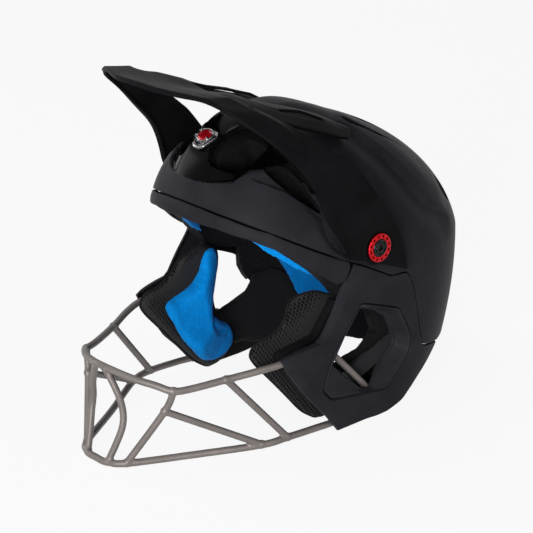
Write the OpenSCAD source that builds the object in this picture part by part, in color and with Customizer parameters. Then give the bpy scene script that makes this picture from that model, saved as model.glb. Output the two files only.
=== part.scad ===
// Full face bike helmet: a smooth shell with a tilting visor, cheek shells with ear
// openings, foam liners, pads, a chin strap and a welded metal tube face cage.
// Millimetres. +Z is up, the face looks along -Y and the rider's left is +X.
// The origin is on the table under the middle of the helmet's length and width.

/* [Shell form] */
// Half width of the shell at its widest section
shell_half_w = 108; // [105:0.5:111]
// Height of the crown above the table
crown_h = 255; // [248:1:262]
// Height of the widest section
widest_h = 131; // [128:1:134]
// Reach of the brow in front of the widest section
brow_reach = 118; // [115:0.5:121]
// Reach of the cheeks' plan curve in front of the widest section
jaw_reach = 150; // [146:1:156]
// Reach of the back of the shell behind the widest section
rear_reach = 155.5; // [150:0.5:161]
// How far the top of the crown leans forward of the widest section
crown_lean = 31.3; // [28:0.1:35]
// Wall of the outer shells
shell_wall = 2.5; // [2:0.1:2.8]
// Height of the raised spine along the crown
spine_h = 9; // [6:0.5:11]
// Gap between neighbouring shell pieces
seam_gap = 0.6; // [0.4:0.1:1]

/* [Liners and pads] */
// Inside face of the crown liner, measured in from the shell's sides
liner_side = 25; // [24:0.5:26]
// The same at the forehead
liner_front = 27; // [24:1:30]
// The same at the back of the head
liner_rear = 38; // [34:1:42]
// The same over the crown
liner_top = 29; // [26:1:31]
// Thickness of the cheek pads
cheek_pad_t = 13; // [10:1:15]
// Thickness of the mesh pads along the cheeks' front edges
mesh_pad_t = 9; // [7:0.5:10]
// Thickness of the brow, crown and rear pads
head_pad_t = 7; // [5:0.5:9]
// Clearance between a piece and its seat
fit_gap = 0.3; // [0.25:0.05:0.4]

/* [Visor] */
// Height of the visor's pivot above the table
pivot_h = 157; // [155.5:0.5:158.5]
// Thickness of the visor's sheet
visor_t = 2.4; // [2:0.1:2.8]
// Gap between the visor's arms and the shell
arm_gap = 1; // [0.8:0.1:1.4]
// Reach of the visor's front edge in front of the widest section
visor_reach = 157.5; // [150:0.5:165]
// Height of the middle of the visor's front edge
visor_front_h = 312; // [306:1:318]

/* [Visor screws] */
// Radius of the screw's shoulder, which the visor turns on
shoulder_r = 4; // [3.5:0.1:4.5]
// Running clearance of the shoulder in its bores
run_gap = 0.05; // [0.02:0.01:0.1]
// Outer radius of the coloured grip ring
ring_r = 12.4; // [11.6:0.1:13]
// Inner radius of the grip ring, which the screw's hub fills
hub_r = 7.4; // [7:0.1:7.8]
// Height of the grip ring
ring_h = 3; // [2.4:0.1:3.6]
// Number of small holes round the ring
ring_holes = 12; // [8:1:14]
// Wall of the bushes in the visor's arms
bush_wall = 2.4; // [2:0.1:2.8]

/* [Cage] */
// Radius of the cage's tubes
tube_r = 3; // [2.6:0.1:3.2]
// Reach of the cage in front of the widest section
cage_reach = 222.5; // [216:0.5:229]
// Height of the cage's upper bar at its middle
cage_top_h = 83; // [79:1:87]
// Radius of the screws that hold the cage's clamps
clamp_screw_r = 2; // [1.6:0.1:2.4]

/* [Chin strap] */
// Width of the strap
strap_w = 16; // [13:1:17]
// Thickness of the strap
strap_t = 1.8; // [1.4:0.1:2]
// Length of the buckle
buckle_l = 30; // [26:1:34]
// Thickness of the buckle
buckle_t = 7.4; // [7:0.1:7.6]
// Travel of the buckle's release button
button_travel = 1.5; // [1:0.1:2]

/* [Hidden] */

// The pieces are drawn with y = 0 at the shell's widest section. This moves them so
// that the helmet's length is centred on the origin.
section_y = (cage_reach - rear_reach) / 2;
// Room between faceted pieces that lie one in the other
flats = 0.7;

black = "#26282c";
foam = "#3a3c40";
blue = "#0a86c8";
steel = "#8d8780";

function mix(a, b, t) = a + (b - a) * t;
function ease(t) = let (k = max(0, min(1, t))) k * k * (3 - 2 * k);
function unit(v) = v / norm(v);
function spow(v, p) = sign(v) * pow(abs(v), p);
function flat(rows) = [for (row = rows) each row];
function turned(list) = [for (i = [len(list) - 1:-1:0]) list[i]];
function mirrored(p) = [-p[0], p[1], p[2]];
function both(list) = concat([for (p = turned(list)) if (p[0] != 0) mirrored(p)], list);

// Shell form. An inset is [side, front, rear, top].
plan_n = 2.3;
cheek_n = 4;
cheek_blend = 39;
side_tuck = 0.07;
rear_tuck = 0.243;
function same(d) = [d, d, d, d];
function low_share(z) = max(0, (widest_h - z) / widest_h);
function top_share(z, d) = max(0, (z - widest_h) / (crown_h - d - widest_h));
function cheek_mix(z) = ease((widest_h - z) / cheek_blend);
function plan_exp(z, front) = front ? mix(plan_n, cheek_n, cheek_mix(z)) : plan_n;
function half_w(z, d) = (shell_half_w - d) * (1 - side_tuck * pow(low_share(z), 2));
function reach(z, d, front) = front
    ? mix(brow_reach, jaw_reach, cheek_mix(z)) - d[1]
    : (rear_reach - d[2]) * (1 - rear_tuck * pow(low_share(z), 2));

// A point of the shell at azimuth a. From s = 0 at the crown to s = 1 at the widest
// section the meridian is a quarter ellipse, and from there to s = 2 it drops to base.
function shell_point(a, s, d, base = 0) = let (
        k = s <= 1 ? sin(90 * s) : 1,
        c = s <= 1 ? cos(90 * s) : 0,
        z = s <= 1 ? widest_h + (crown_h - d[3] - widest_h) * c : mix(widest_h, base, s - 1),
        front = sin(a) < 0,
        n = plan_exp(z, front)
    ) [
        half_w(z, d[0]) * k * spow(cos(a), 2 / n),
        -crown_lean * c + reach(z, d, front) * k * spow(sin(a), 2 / n),
        z
    ];

// Half width at y and z of the shell measured in by d
function side_in(y, z, d) = let (
        c = top_share(z, d[3]),
        k = sqrt(max(0.02, 1 - c * c)),
        front = y + crown_lean * c < 0,
        n = plan_exp(z, front),
        q = min(0.999, abs(y + crown_lean * c) / (reach(z, d, front) * k))
    ) half_w(z, d[0]) * k * pow(1 - pow(q, n), 1 / n);
function side_x(y, z, d = 0) = side_in(y, z, same(d));
// Insets of the head's room inside the liners
head = [liner_side, liner_front, liner_rear, liner_top];

// How far the crown's raised spine stands above the shell at a point
function spine(p) = spine_h * ease((42 - abs(p[0])) / 30)
    * ease((p[1] + 122) / 30) * ease((52 - p[1]) / 70) * ease((p[2] - 195) / 20);
function raised(p) = p + [0, 0, spine(p)];

// Closed solids from grids of points
function quad(a, b, c, d) = [[a, b, c], [a, c, d]];
// Faces of a slab between two rows by cols grids. The mask leaves cells out. A wrapped
// grid is closed round and capped at its first row.
function slab_faces(rows, cols, wrap, open) = let (
        m = rows * cols,
        at = function(i, j) i * cols + j % cols,
        has = function(i, j) i >= 0 && i < rows - 1
            && (wrap || (j >= 0 && j < cols - 1)) && !open(i, wrap ? (j + cols) % cols : j)
    ) concat(
        [for (i = [0:rows - 2], j = [0:(wrap ? cols : cols - 1) - 1]) if (has(i, j)) let (
                a = at(i, j), b = at(i, j + 1), c = at(i + 1, j + 1), d = at(i + 1, j)
            ) each concat(
                quad(a, b, c, d), quad(m + d, m + c, m + b, m + a),
                has(i - 1, j) || (wrap && i == 0) ? [] : quad(b, a, m + a, m + b),
                has(i + 1, j) ? [] : quad(d, c, m + c, m + d),
                has(i, j - 1) ? [] : quad(a, d, m + d, m + a),
                has(i, j + 1) ? [] : quad(c, b, m + b, m + c)
            )],
        wrap ? [[for (j = [cols - 1:-1:0]) j], [for (j = [0:cols - 1]) m + j]] : []
    );
closed = function(i, j) false;
// Turns the faces over where that makes the solid's outside face out
function faced(faces, over) = over ? [for (f = faces) turned(f)] : faces;
module slab(outer, inner, wrap = false, open = closed) {
    over = cross(outer[1][1] - outer[1][0], outer[0][0] - outer[1][0]) * (outer[1][0] - inner[1][0]) < 0;
    polyhedron(concat(flat(outer), flat(inner)),
        faced(slab_faces(len(outer), len(outer[0]), wrap, open), over), convexity = 8);
}

// A smooth path through points, and a bar swept along it. The bar is w wide along
// ref and h thick, and pow_n gives its section from round (2) to square.
function spline(p, n = 4) = concat([for (i = [0:len(p) - 2], k = [0:n - 1]) let (
        a = p[max(0, i - 1)], b = p[i], c = p[i + 1], d = p[min(len(p) - 1, i + 2)], t = k / n
    ) (2 * b + (c - a) * t + (2 * a - 5 * b + 4 * c - d) * t * t
        + (3 * b - a - 3 * c + d) * t * t * t) / 2], [p[len(p) - 1]]);
module bar(p, w, h, ref = [0, 0, 1], sides = 10, n = 2) {
    last = len(p) - 1;
    rings = [for (i = [0:last]) let (
            t = unit(p[min(last, i + 1)] - p[max(0, i - 1)]),
            v = unit(cross(t, ref)), u = cross(v, t)
        ) [for (k = [0:sides - 1]) let (a = 360 * (k + 0.5) / sides)
            p[i] + u * w / 2 * spow(cos(a), 2 / n) + v * h / 2 * spow(sin(a), 2 / n)]];
    polyhedron(flat(rings), concat(
        [for (i = [0:last - 1], k = [0:sides - 1]) let (l = (k + 1) % sides)
            each quad((i + 1) * sides + k, (i + 1) * sides + l, i * sides + l, i * sides + k)],
        [[for (k = [0:sides - 1]) k]],
        [[for (k = [sides - 1:-1:0]) last * sides + k]]
    ), convexity = 8);
}
module tube(p) bar(p, tube_r * 2, tube_r * 2, sides = 10);

// A cushion on a star shaped side outline of [y, z] points round a middle point. Its
// sides are drawn in at the seat and its face is crowned. It grows from x0 inwards.
module cushion(outline, middle, x_of, t) {
    n = len(outline);
    area = [for (j = [0:n - 1]) cross(outline[j], outline[(j + 1) % n])] * [for (j = [1:n]) 1];
    rings = [[0.95, 0], [1, 0.22], [0.99, 0.5], [0.93, 0.78], [0.8, 0.94], [0.5, 1]];
    m = len(rings);
    function at(p, k) = let (q = middle + (p - middle) * k[0]) [x_of(q[0], q[1]) - t * k[1], q[0], q[1]];
    polyhedron(concat(flat([for (k = rings) [for (p = outline) at(p, k)]]),
        [at(middle, [1, 0]), at(middle, [1, 1])]),
        faced(concat(
            [for (i = [0:m - 2], j = [0:n - 1]) let (l = (j + 1) % n)
                each quad(i * n + j, i * n + l, (i + 1) * n + l, (i + 1) * n + j)],
            [for (j = [0:n - 1]) [m * n, (j + 1) % n, j]],
            [for (j = [0:n - 1]) [m * n + 1, (m - 1) * n + j, (m - 1) * n + (j + 1) % n]]
        ), area < 0), convexity = 6);
}

// A prism along X from a side outline of [y, z] points
module side_prism(outline, x0, x1) {
    translate([x0, 0, 0]) rotate([90, 0, 90]) linear_extrude(x1 - x0) polygon(outline);
}
module place() {
    translate([0, section_y, 0]) children();
}
module right() {
    mirror([1, 0, 0]) place() children();
}
// A chain of rounded cutters through points
module slot(points, r) {
    for (i = [0:len(points) - 2]) hull() for (p = [points[i], points[i + 1]])
        translate(p) sphere(r, $fn = 8);
}

// Side outlines, as [height, distance behind the widest section]
cheek_front = [
    [0, -42], [20, -57], [40, -74], [55, -84], [70, -94], [83, -99.5],
    [86, -84], [88, -66], [92, -60], [102, -53], [120, -40], [133, -32], [146, -23.5]
];
cheek_rear = [
    [0, 12], [4, 34], [15, 51], [29, 75], [37, 88],
    [41, 72], [46, 58], [63, 53], [83, 49], [103, 44.5], [118, 39],
    [123, 34], [125, 16], [133, 2.5], [142, -13.5], [146, -22]
];
cheek_rows = [146, 142, 137, 133, 128, 125, 123, 118, 110, 103, 97, 92, 88, 86, 83, 76,
    70, 63, 55, 46, 41, 37, 29, 20, 15, 8, 4, 0];
// Lower edge of the upper shell, and the middle line of the gap under the visor's arms
shell_edge = [
    [-160, 226], [-28, 149], [-13.5, 142.6], [2.5, 133.6], [16, 125.6], [34, 123.8],
    [39.6, 118], [45.1, 103], [49.6, 83], [53.6, 63], [58.6, 46.6], [72, 41.6], [88, 37.6],
    [180, 33]
];
// Lower edge of the crown liner
liner_edge = [
    [-160, 188.5], [-119, 188.5], [-113.5, 186.5], [-100.5, 180.2], [-86.5, 171.8], [-70.5, 160.4],
    [-47.5, 139], [-38, 128], [-31, 116], [-24, 110], [-14, 108], [-1, 102], [7, 90], [9.5, 80], [10, 70],
    [56, 70], [64, 50], [180, 38]
];
// Upper and lower edges of the brow band, as [azimuth, height]
band_top = [[-90, 199.4], [-78, 198.4], [-61, 193.4], [-41, 183.4], [-28, 171], [-19, 161], [-9, 149.4]];
band_low = [[-90, 187], [-69, 185], [-52, 178.6], [-40, 170], [-30, 158.5], [-22, 142], [-17, 133],
    [-13, 134], [-9, 146.6]];
// The ear opening's inner rim, its outer border, and their common middle
ear_rim = [[-46, 61.5], [-39.5, 71.5], [-33, 81.4], [-27, 90.4], [-21, 98], [-15.6, 103], [-4, 98.5],
    [6.8, 93.4], [21.7, 81.8], [29.6, 64.3], [31.5, 55.3], [22.5, 45.3], [6, 35], [-2.5, 27], [-12, 28],
    [-29, 45]];
ear_border = [[-60.5, 45], [-55, 59], [-48.5, 74], [-38, 87], [-28, 99], [-18.5, 111], [3, 102.5], [14, 98],
    [25.5, 93], [41.5, 62], [39.5, 49], [31, 40], [22, 30.5], [13.5, 22], [-18, 27.5], [-50.5, 33]];
ear_middle = [-10, 66];
ear_cut = [for (p = ear_border) ear_middle + (p - ear_middle) * 1.005];

function row_y(edge, z) = lookup(z, edge);
function cheek_grid(d) = [for (z = cheek_rows) let (
        y0 = row_y(cheek_front, z) + seam_gap / 2, y1 = row_y(cheek_rear, z) - seam_gap / 2
    ) [for (j = [0:12]) let (y = mix(y0, max(y0 + 1, y1), j / 12)) [side_x(y, z, d), y, z]]];
module cheek_shell() {
    color(black) difference() {
        slab(cheek_grid(0), cheek_grid(shell_wall));
        hull() side_prism(ear_cut, 60, 130);
        // Crease along the lower rear edge
        slot([[101.5, 11, 1], [103, 23, 12], [104, 31, 35], [104.4, 41, 56], [105.4, 40, 78],
            [106, 38, 100]], 0.7);
        // Crease along the jaw
        slot([[102.4, -36, 10], [102.8, -54, 24], [103, -70, 43]], 0.7);
    }
}
module ear_bezel() {
    n = len(ear_rim);
    function wall_pt(i, k, t) = let (
            j = i % n,
            p = mix(ear_middle + (ear_border[j] - ear_middle) * 0.992, ear_rim[j], k),
            deep = mix(3, mix(5, 13, ease((p[0] + 40) / 60)), ease((p[1] - 24) / 22)) * ease(k * 1.2)
        ) [side_x(p[0], p[1], deep + t), p[0], p[1]];
    rows = 5;
    outer = [for (k = [0:rows - 1]) [for (i = [0:n - 1]) wall_pt(i, k / (rows - 1), 0)]];
    inner = [for (k = [0:rows - 1]) [for (i = [0:n - 1]) wall_pt(i, k / (rows - 1), 2)]];
    m = rows * n;
    color("#1b1c1f") polyhedron(concat(flat(outer), flat(inner)), faced(concat(
        [for (i = [0:rows - 2], j = [0:n - 1]) let (l = (j + 1) % n, a = i * n + j, b = i * n + l)
            each concat(quad(a, a + n, b + n, b), quad(m + b, m + b + n, m + a + n, m + a))],
        [for (j = [0:n - 1]) let (l = (j + 1) % n) each concat(
            quad(l, m + l, m + j, j),
            quad(m - n + j, 2 * m - n + j, 2 * m - n + l, m - n + l))]
    ), true), convexity = 6);
}

azimuths = [-90, -80, -70, -60, -50, -42, -35, -28, -22, -16, -10, -5, 0, 5, 10, 15, 20, 26, 34, 44, 56,
    68, 79];
ordered = concat(azimuths, [90], [for (a = turned(azimuths)) if (a > -90) 180 - a]);
shell_steps = [0.1, 0.2, 0.3, 0.4, 0.5, 0.6, 0.7, 0.8, 0.9, 1, 1.2, 1.4, 1.6, 1.75];
function shell_rows(d, lift) = [for (s = shell_steps) [for (a = turned(ordered))
    let (p = shell_point(a, s, same(d))) lift ? raised(p) : p]];
// Vents of the left half, as corner points on the shell. The cutters narrow inwards.
shell_vents = [
    [[15, -96, 229], [14, -80, 242], [20, -58, 250], [43, -56, 242], [42, -76, 235], [37, -92, 226]],
    [[51, -74, 229], [59, -55, 232], [75, -49, 218], [84, -46, 206], [92, -43, 190], [76, -60, 208]],
    [[40, 34, 238], [28, 36, 243], [43, 52, 229], [51, 89, 207], [49, 62, 224]],
    [[56, 113, 176], [58, 124, 160], [64, 123, 153], [68, 108, 166]],
    [[14, 60, 238], [22, 62, 236], [26, 84, 226], [17, 84, 228]]
];
head_middle = [0, -8, 150];
module vents(r) {
    for (s = [1, -1], v = shell_vents) hull() for (p = v, k = [1.12, 0.7])
        translate(let (q = head_middle + (p - head_middle) * k) [s * q[0], q[1], q[2]]) sphere(r, $fn = 6);
}
module below(edge) {
    side_prism(concat(edge, [[edge[len(edge) - 1][0], -20], [edge[0][0], -20]]), -140, 140);
}
module upper_shell() {
    color(black) difference() {
        slab(shell_rows(0, true), shell_rows(shell_wall, true), wrap = true);
        below(shell_edge);
        vents(1.5);
        band_room();
        for (s = [1, -1]) at_pivot(s) cylinder(h = 40, r = 3.6, center = true, $fn = 24);
    }
}
// Room under the brow band's upper edge
module band_room() {
    pts = [for (a = band_top) let (p = shell_point(a[0], acos(min(1, top_share(a[1], 0))) / 90, same(0)))
        [p[1] + 1.3 * pow(sin(a[0]), 2), a[1] + seam_gap]];
    side_prism(concat([[-160, pts[0][1]]], pts, [[pts[len(pts) - 1][0], 100], [-160, 100]]), -140, 140);
}
// The liner is thinner behind the ear bezels
function bezel_room(p) = 13.6 * ease((50 - p[1]) / 7) * ease((124 - p[2]) / 9);
module liner_slab(steps, around, wrap) {
    function outer_pt(a, s) = let (p = shell_point(a, s, same(shell_wall + fit_gap + flats)))
        p - [sign(p[0]) * min(abs(p[0]), bezel_room(p)), 0, 0];
    slab([for (s = steps) [for (a = around) outer_pt(a, s)]],
        [for (s = steps) [for (a = around) shell_point(a, s, head)]], wrap = wrap);
}
module crown_liner() {
    color(foam) difference() {
        liner_slab([0.15, 0.3, 0.45, 0.6, 0.75, 0.88, 0.97, 1.05, 1.13, 1.2], turned(ordered), true);
        below(liner_edge);
        vents(1);
        for (s = [1, -1]) hull() translate([s * (shell_half_w - 11), pivot_y, pivot_h])
            rotate([0, 90, 0]) cylinder(h = 22, r = 9.5, center = true, $fn = 16);
    }
}
// The harder foam ring round the nape, which the crown liner stands on
module nape_liner() {
    color(foam) difference() {
        liner_slab([1.205, 1.3, 1.5, 1.72], [for (a = turned(ordered)) if (a >= 0 && a <= 180) a], false);
        below(liner_edge);
    }
}

// The brow band, which wraps under the shell's front edge
module brow_band() {
    sweep_a = [-90, -82, -74, -66, -58, -50, -43, -36, -30, -25, -20, -16, -12.5, -9.5];
    function edge_pt(a, t, d) = let (
            b = a < -90 ? -180 - a : a,
            z = mix(lookup(b, band_top), lookup(b, band_low), t),
            c = top_share(z, d),
            bulge = 1.4 * sin(180 * t) * ease((-9 - b) / 25)
        ) shell_point(a, z > widest_h ? acos(min(1, c)) / 90 : 1 + low_share(z), same(d - bulge));
    ts = [0, 0.35, 0.7, 1];
    ring = concat([for (a = turned(sweep_a)) a], [for (a = sweep_a) if (a > -90) -180 - a]);
    color(black) slab(
        [for (t = ts) [for (a = ring) edge_pt(a, t, 0)]],
        [for (t = ts) [for (a = ring) edge_pt(a, t, shell_wall * (t == 0 ? 0.5 : 1))]]);
}

// Forehead badge, lying on the spine and leaning back a little from its slope
function brow_line(s) = raised(shell_point(-90, s, same(0)));
badge_step = 0.3444;
badge_slope = brow_line(badge_step - 0.045) - brow_line(badge_step + 0.045);
badge_lean = 5.4;
module on_forehead(lift) {
    translate(brow_line(badge_step) - [0, 0, 0.7])
        rotate([atan2(badge_slope[2], badge_slope[1]) - badge_lean, 0, 0])
            translate([0, 0, lift]) children();
}
module badge_setting() {
    color("#c9ccd0") on_forehead(1) difference() {
        linear_extrude(3.4) polygon([
            [-12, 4], [-9.5, 8], [9.5, 8], [12, 4], [7, -9], [3, -12], [-3, -12], [-7, -9]]);
        translate([0, 1.5, 2]) scale([1.25, 1, 1]) cylinder(h = 4, r = 6.2, $fn = 48);
    }
}
module badge_disc() {
    color("#b01020") on_forehead(3) translate([0, 1.5, 0]) scale([1.25, 1, 1])
        cylinder(h = 2.2, r = 6, $fn = 96);
}

// Cheek liner, a curved block from the front edge under and behind the ear opening
liner_outer_line = [[-33, 113], [-38, 106], [-46, 97], [-56, 86], [-82, 82], [-91, 78], [-87, 66],
    [-70, 46], [-54, 26], [-38, 6], [-10, 3], [12, 4], [30, 8], [44, 18], [49, 29]];
liner_inner_line = [[-27, 108.5], [-31, 104], [-37, 98], [-44, 91], [-52, 84], [-57, 77], [-60, 69],
    [-61, 60], [-56, 44], [-38, 27], [-16, 20], [6, 19], [20, 22], [30, 29], [36, 36]];
// Depth from the shell's face to the liner, which leaves room for the cage's tubes
function rod_room(y, z) = mix(mix(13, 16.8, ease((z - 16) / 40)), shell_wall + flats, ease((y - 16) / 10));
module cheek_liner() {
    n = len(liner_outer_line);
    function at(i, k, x) = let (p = mix(liner_outer_line[i], liner_inner_line[i], k))
        [x < 0 ? side_x(p[0], p[1], rod_room(p[0], p[1])) : cheek_seat(p[0], p[1]) + fit_gap, p[0], p[1]];
    color(foam) slab(
        [for (k = [0, 0.33, 0.67, 1]) [for (i = [0:n - 1]) at(i, k, -1)]],
        [for (k = [0, 0.33, 0.67, 1]) [for (i = [0:n - 1]) at(i, k, 1)]]);
}

// Side outlines of the pads, round their middles
mesh_outline = [[-20, 110], [-31, 117], [-42, 122], [-56, 121], [-68, 116], [-74, 107], [-82, 99], [-92, 95],
    [-104, 93], [-113, 89], [-115, 83], [-109, 73], [-98, 59], [-80, 37], [-62, 13], [-47, 3], [-28, 4],
    [-15, 14], [-13, 30], [-16, 43], [-28, 52], [-30, 64], [-26, 80], [-21, 95]];
mesh_middle = [-62, 66];
pad_outline = [[-93, 80], [-76, 85], [-63, 90], [-56, 94], [-50, 101], [-46, 112], [-42, 118], [-35, 119],
    [-30, 114], [-28.5, 104], [-33, 90], [-38, 78], [-42, 68], [-43, 60], [-33, 49], [-22, 40], [-18, 31],
    [-20, 20], [-30, 13], [-43, 11], [-56, 16], [-65, 27], [-77, 43], [-87, 64]];
pad_middle = [-50, 62];
function cheek_seat(y, z) = side_in(max(y, -62), z, head) - 0.06 * max(0, -62 - y) - fit_gap;
module mesh_pad() {
    color("#17181a") cushion(mesh_outline, mesh_middle, function(y, z) cheek_seat(y, z), mesh_pad_t);
}
module cheek_pad() {
    color(blue) cushion(pad_outline, pad_middle,
        function(y, z) cheek_seat(y, z) - mesh_pad_t - fit_gap - 0.1, cheek_pad_t);
}
// Pads on the liners. The map gives azimuth and s across u and down v, and the inner
// face is crowned between the pad's edges.
module head_pad(map, t, cols, rows, flatness = 0.35) {
    function crown(u, v) = let (e = function(w) 1 - pow(abs(2 * w - 1), 3))
        flatness + (1 - flatness) * sqrt(e(u) * e(v));
    function at(i, j, k) = let (u = j / cols, v = i / rows, m = map(u, v))
        shell_point(m[0], m[1], head + same(fit_gap + flats + k * t * crown(u, v)));
    slab([for (i = [0:rows]) [for (j = [0:cols]) at(i, j, 0)]],
        [for (i = [0:rows]) [for (j = [0:cols]) at(i, j, 1)]]);
}
function low_s(z) = 2 - z / widest_h;
module brow_pad() {
    color(blue) head_pad(function(u, v) let (a = abs(2 * u - 1) * 64)
        [-154 + 128 * u, mix(lookup(a, [[0, 0.42], [30, 0.45], [45, 0.56], [64, 0.74]]),
            lookup(a, [[0, 0.66], [30, 0.7], [45, 0.81], [64, 0.98]]), v)], head_pad_t, 16, 5);
}
module crown_pad() {
    color("#202226") head_pad(function(u, v) [200 + 140 * u, 0.17 + 0.19 * v], head_pad_t, 12, 5);
}
module rear_pad() {
    color(blue) head_pad(function(u, v) let (
            s = mix(0.55, 1.7, v),
            e = lookup(s, [[0.55, 30], [0.8, 16], [1.18, 9], [1.46, 24], [1.7, 38]])
        ) [mix(e, 180 - e, u), s], head_pad_t, 16, 9);
}
// Bare lining round the nape, under the rear pad and behind the cheek pads
module nape_panel() {
    color("#1f2023") head_pad(function(u, v) let (
            a = 90 - abs(2 * u - 1) * 90.5,
            top = lookup(a, [[-1, 66], [18, 66], [23, 63], [36, 37], [90, 36]]),
            low = lookup(a, [[-1, 17], [5, 10], [20, 5], [60, 5], [90, 8]])
        ) [u < 0.5 ? a : 180 - a, low_s(mix(top, low, v))], 3, 26, 4, 1);
}

// The visor: a hood with two side arms down to the pivots and two prongs over the
// crown. Columns run from the middle of the hood down the left arm. Rows run from the
// front edge back to the tips of the prongs.
pivot_y = -2;
front_line = [[0, -157.5, 312], [22, -155, 310.5], [36, -150, 309], [50, -144, 307.5], [66, -137, 305.5],
    [84, -127.5, 297], [91.5, -115, 284], [97, -101.5, 271], [100, -90, 258], [101.5, -78, 244],
    [103.5, -66, 228], [107, -57, 205], [110, -51, 188], [110.5, -39, 170], [110.5, -30.5, 153.5]];
mid_line = [[0, -120, 299], [22, -119, 300], [35, -118, 300.5], [49, -116, 301], [65, -112, 300.5],
    [80, -98, 289], [88, -82, 277], [94, -72, 264], [98, -60, 251], [101.5, -50, 239],
    [104.5, -38, 226], [108.5, -29, 204], [110.5, -21, 184], [111, -8, 162], [111, -12, 147]];
rear_line = [[0, -82, 285], [21, -84, 289], [33, -88, 292], [47, -94, 294], [64, -97, 289.5],
    [73, -98, 292], [84, -77, 277], [91, -62, 266], [97, -47, 253], [104, -33, 242],
    [108.5, -21, 230], [110.5, -3, 206], [111, 14, 180], [111, 26, 156], [111, 31, 128]];
prong_lines = [
    [[30, -70, 283], [44, -72, 284], [55, -71, 280], [67, -72, 273]],
    [[33, -52, 276], [51, -52, 274], [54, -52, 272], [68, -55, 265.5]],
    [[37, -28, 267], [47.5, -26, 266], [55.5, -30, 263], [68.5, -38, 258]],
    [[41, -6, 258], [52, -8, 256.5], [56, -8, 254.5], [69, -18, 249.5]],
    [[46, 10, 248.5], [52, 8, 248], [58, 6, 246], [68.5, -2, 242.5]],
    [[52.5, 20, 242], [55.5, 19.5, 241.5], [60, 16.5, 240], [66.5, 10, 238]]
];
function to_visor(p) = let (f = max(0, min(1, (-p[1] - 20) / 137.5)))
    [p[0] + (p[0] > 105 ? shell_half_w - 108 : 0), p[1] * mix(1, visor_reach / 157.5, f),
     p[2] + (visor_front_h - 312) * f * f];
// Keeps the arms clear of the shell
arm_x = shell_half_w + arm_gap + visor_t - 0.4;
function clear_arm(p) = let (x = side_x(p[1], p[2]) + arm_gap + visor_t)
    p[2] < 165 ? [arm_x, p[1], p[2]] : p[2] < 200 ? [max(p[0], x), p[1], p[2]] : p;
function visor_row(half) = let (h = [for (p = half) clear_arm(to_visor(p))]) both(h);
function prong_row(k, side) = [for (p = prong_lines[k]) to_visor(p)];
visor_cols = 2 * len(front_line) - 1;
// A prong row has real points in four columns. Its other columns repeat unused points.
visor_mid = len(front_line) - 1;
function wide_row(r) = [for (j = [0:visor_cols - 1]) let (
        c = abs(j - visor_mid), s = j < visor_mid ? -1 : 1, p = r[max(0, min(3, c - 1))]
    ) [s * p[0], p[1], p[2]]];
visor_grid = concat(
    [visor_row(front_line), visor_row([for (i = [0:14]) mix(front_line[i], mid_line[i], 0.5)]),
     visor_row(mid_line), visor_row([for (i = [0:14]) mix(mid_line[i], rear_line[i], 0.5)]),
     visor_row(rear_line)],
    [for (r = prong_lines) wide_row([for (p = r) to_visor(p)])]
);
visor_rows = len(visor_grid);
function visor_open(i, j) = let (c = j < visor_mid ? visor_mid - 1 - j : j - visor_mid)
    i >= 4 && (c < 1 || c > 3 || (c == 2 && (i == 6 || i == 7)));
function grid_normal(g, i, j) = let (
        rows = len(g), cols = len(g[0]),
        far = i >= 5,
        c = abs(j - visor_mid),
        j0 = far ? (c <= 1 ? j : (j < visor_mid ? j + 1 : j - 1)) : max(0, j - 1),
        j1 = far ? (c >= 4 ? j : (j < visor_mid ? j - 1 : j + 1)) : min(cols - 1, j + 1),
        sgn = far && j < visor_mid ? -1 : 1,
        i0 = max(0, i - 1), i1 = c >= 1 && c <= 4 ? min(rows - 1, i + 1) : min(4, i + 1),
        v = g[i][j1] - g[i][j0], w = g[i1][j] - g[i0][j]
    ) unit(cross(w, v) * sgn);
module visor() {
    inner = [for (i = [0:visor_rows - 1]) [for (j = [0:visor_cols - 1])
        let (p = visor_grid[i][j], c = abs(j - visor_mid))
            i > 4 && (c < 1 || c > 4) ? p : p + visor_t * grid_normal(visor_grid, i, j)]];
    color(black) difference() {
        slab(visor_grid, inner, open = function(i, j) visor_open(i, j));
        for (s = [1, -1]) at_pivot(s)
            cylinder(h = 60, r = shoulder_r + run_gap + bush_wall + 0.05, center = true);
    }
}

// The visor's screws, drawn along +Z with z = 0 at the outside of the arm
shell_x = side_x(pivot_y, pivot_h - 7) - arm_x;
insert_x = side_x(pivot_y, pivot_h + 7, shell_wall) - fit_gap - arm_x;
module at_pivot(s) {
    translate([s * arm_x, pivot_y, pivot_h]) rotate([0, s * 90, 0]) children();
}
module visor_bush() {
    color("#6f7276") difference() {
        translate([0, 0, shell_x + fit_gap])
            cylinder(h = -shell_x - fit_gap, r = shoulder_r + run_gap + bush_wall);
        translate([0, 0, -10]) cylinder(h = 20, r = shoulder_r + run_gap);
    }
}
module visor_screw() {
    color("#15161a") difference() {
        union() {
            translate([0, 0, 0.3]) cylinder(h = ring_h + 0.6, r = hub_r);
            translate([0, 0, shell_x + fit_gap]) cylinder(h = 0.5 - shell_x - fit_gap, r = shoulder_r);
            translate([0, 0, insert_x - 8]) cylinder(h = 8.5 - insert_x, r = 3);
        }
        translate([0, 0, ring_h - 1]) cylinder(h = 5, r = 2.6, $fn = 6);
    }
}
module visor_ring() {
    color("#c8202a") difference() {
        translate([0, 0, 0.3]) rotate_extrude($fn = 96) polygon([
            [hub_r, 0], [ring_r - 0.6, 0], [ring_r, 0.6], [ring_r, ring_h - 0.8], [ring_r - 0.8, ring_h],
            [hub_r, ring_h]]);
        for (i = [0:ring_holes - 1]) rotate(i * 360 / ring_holes) translate([(ring_r + hub_r) / 2, 0, -2])
            cylinder(h = ring_h + 4, r = 0.9, $fn = 24);
    }
}
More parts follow.
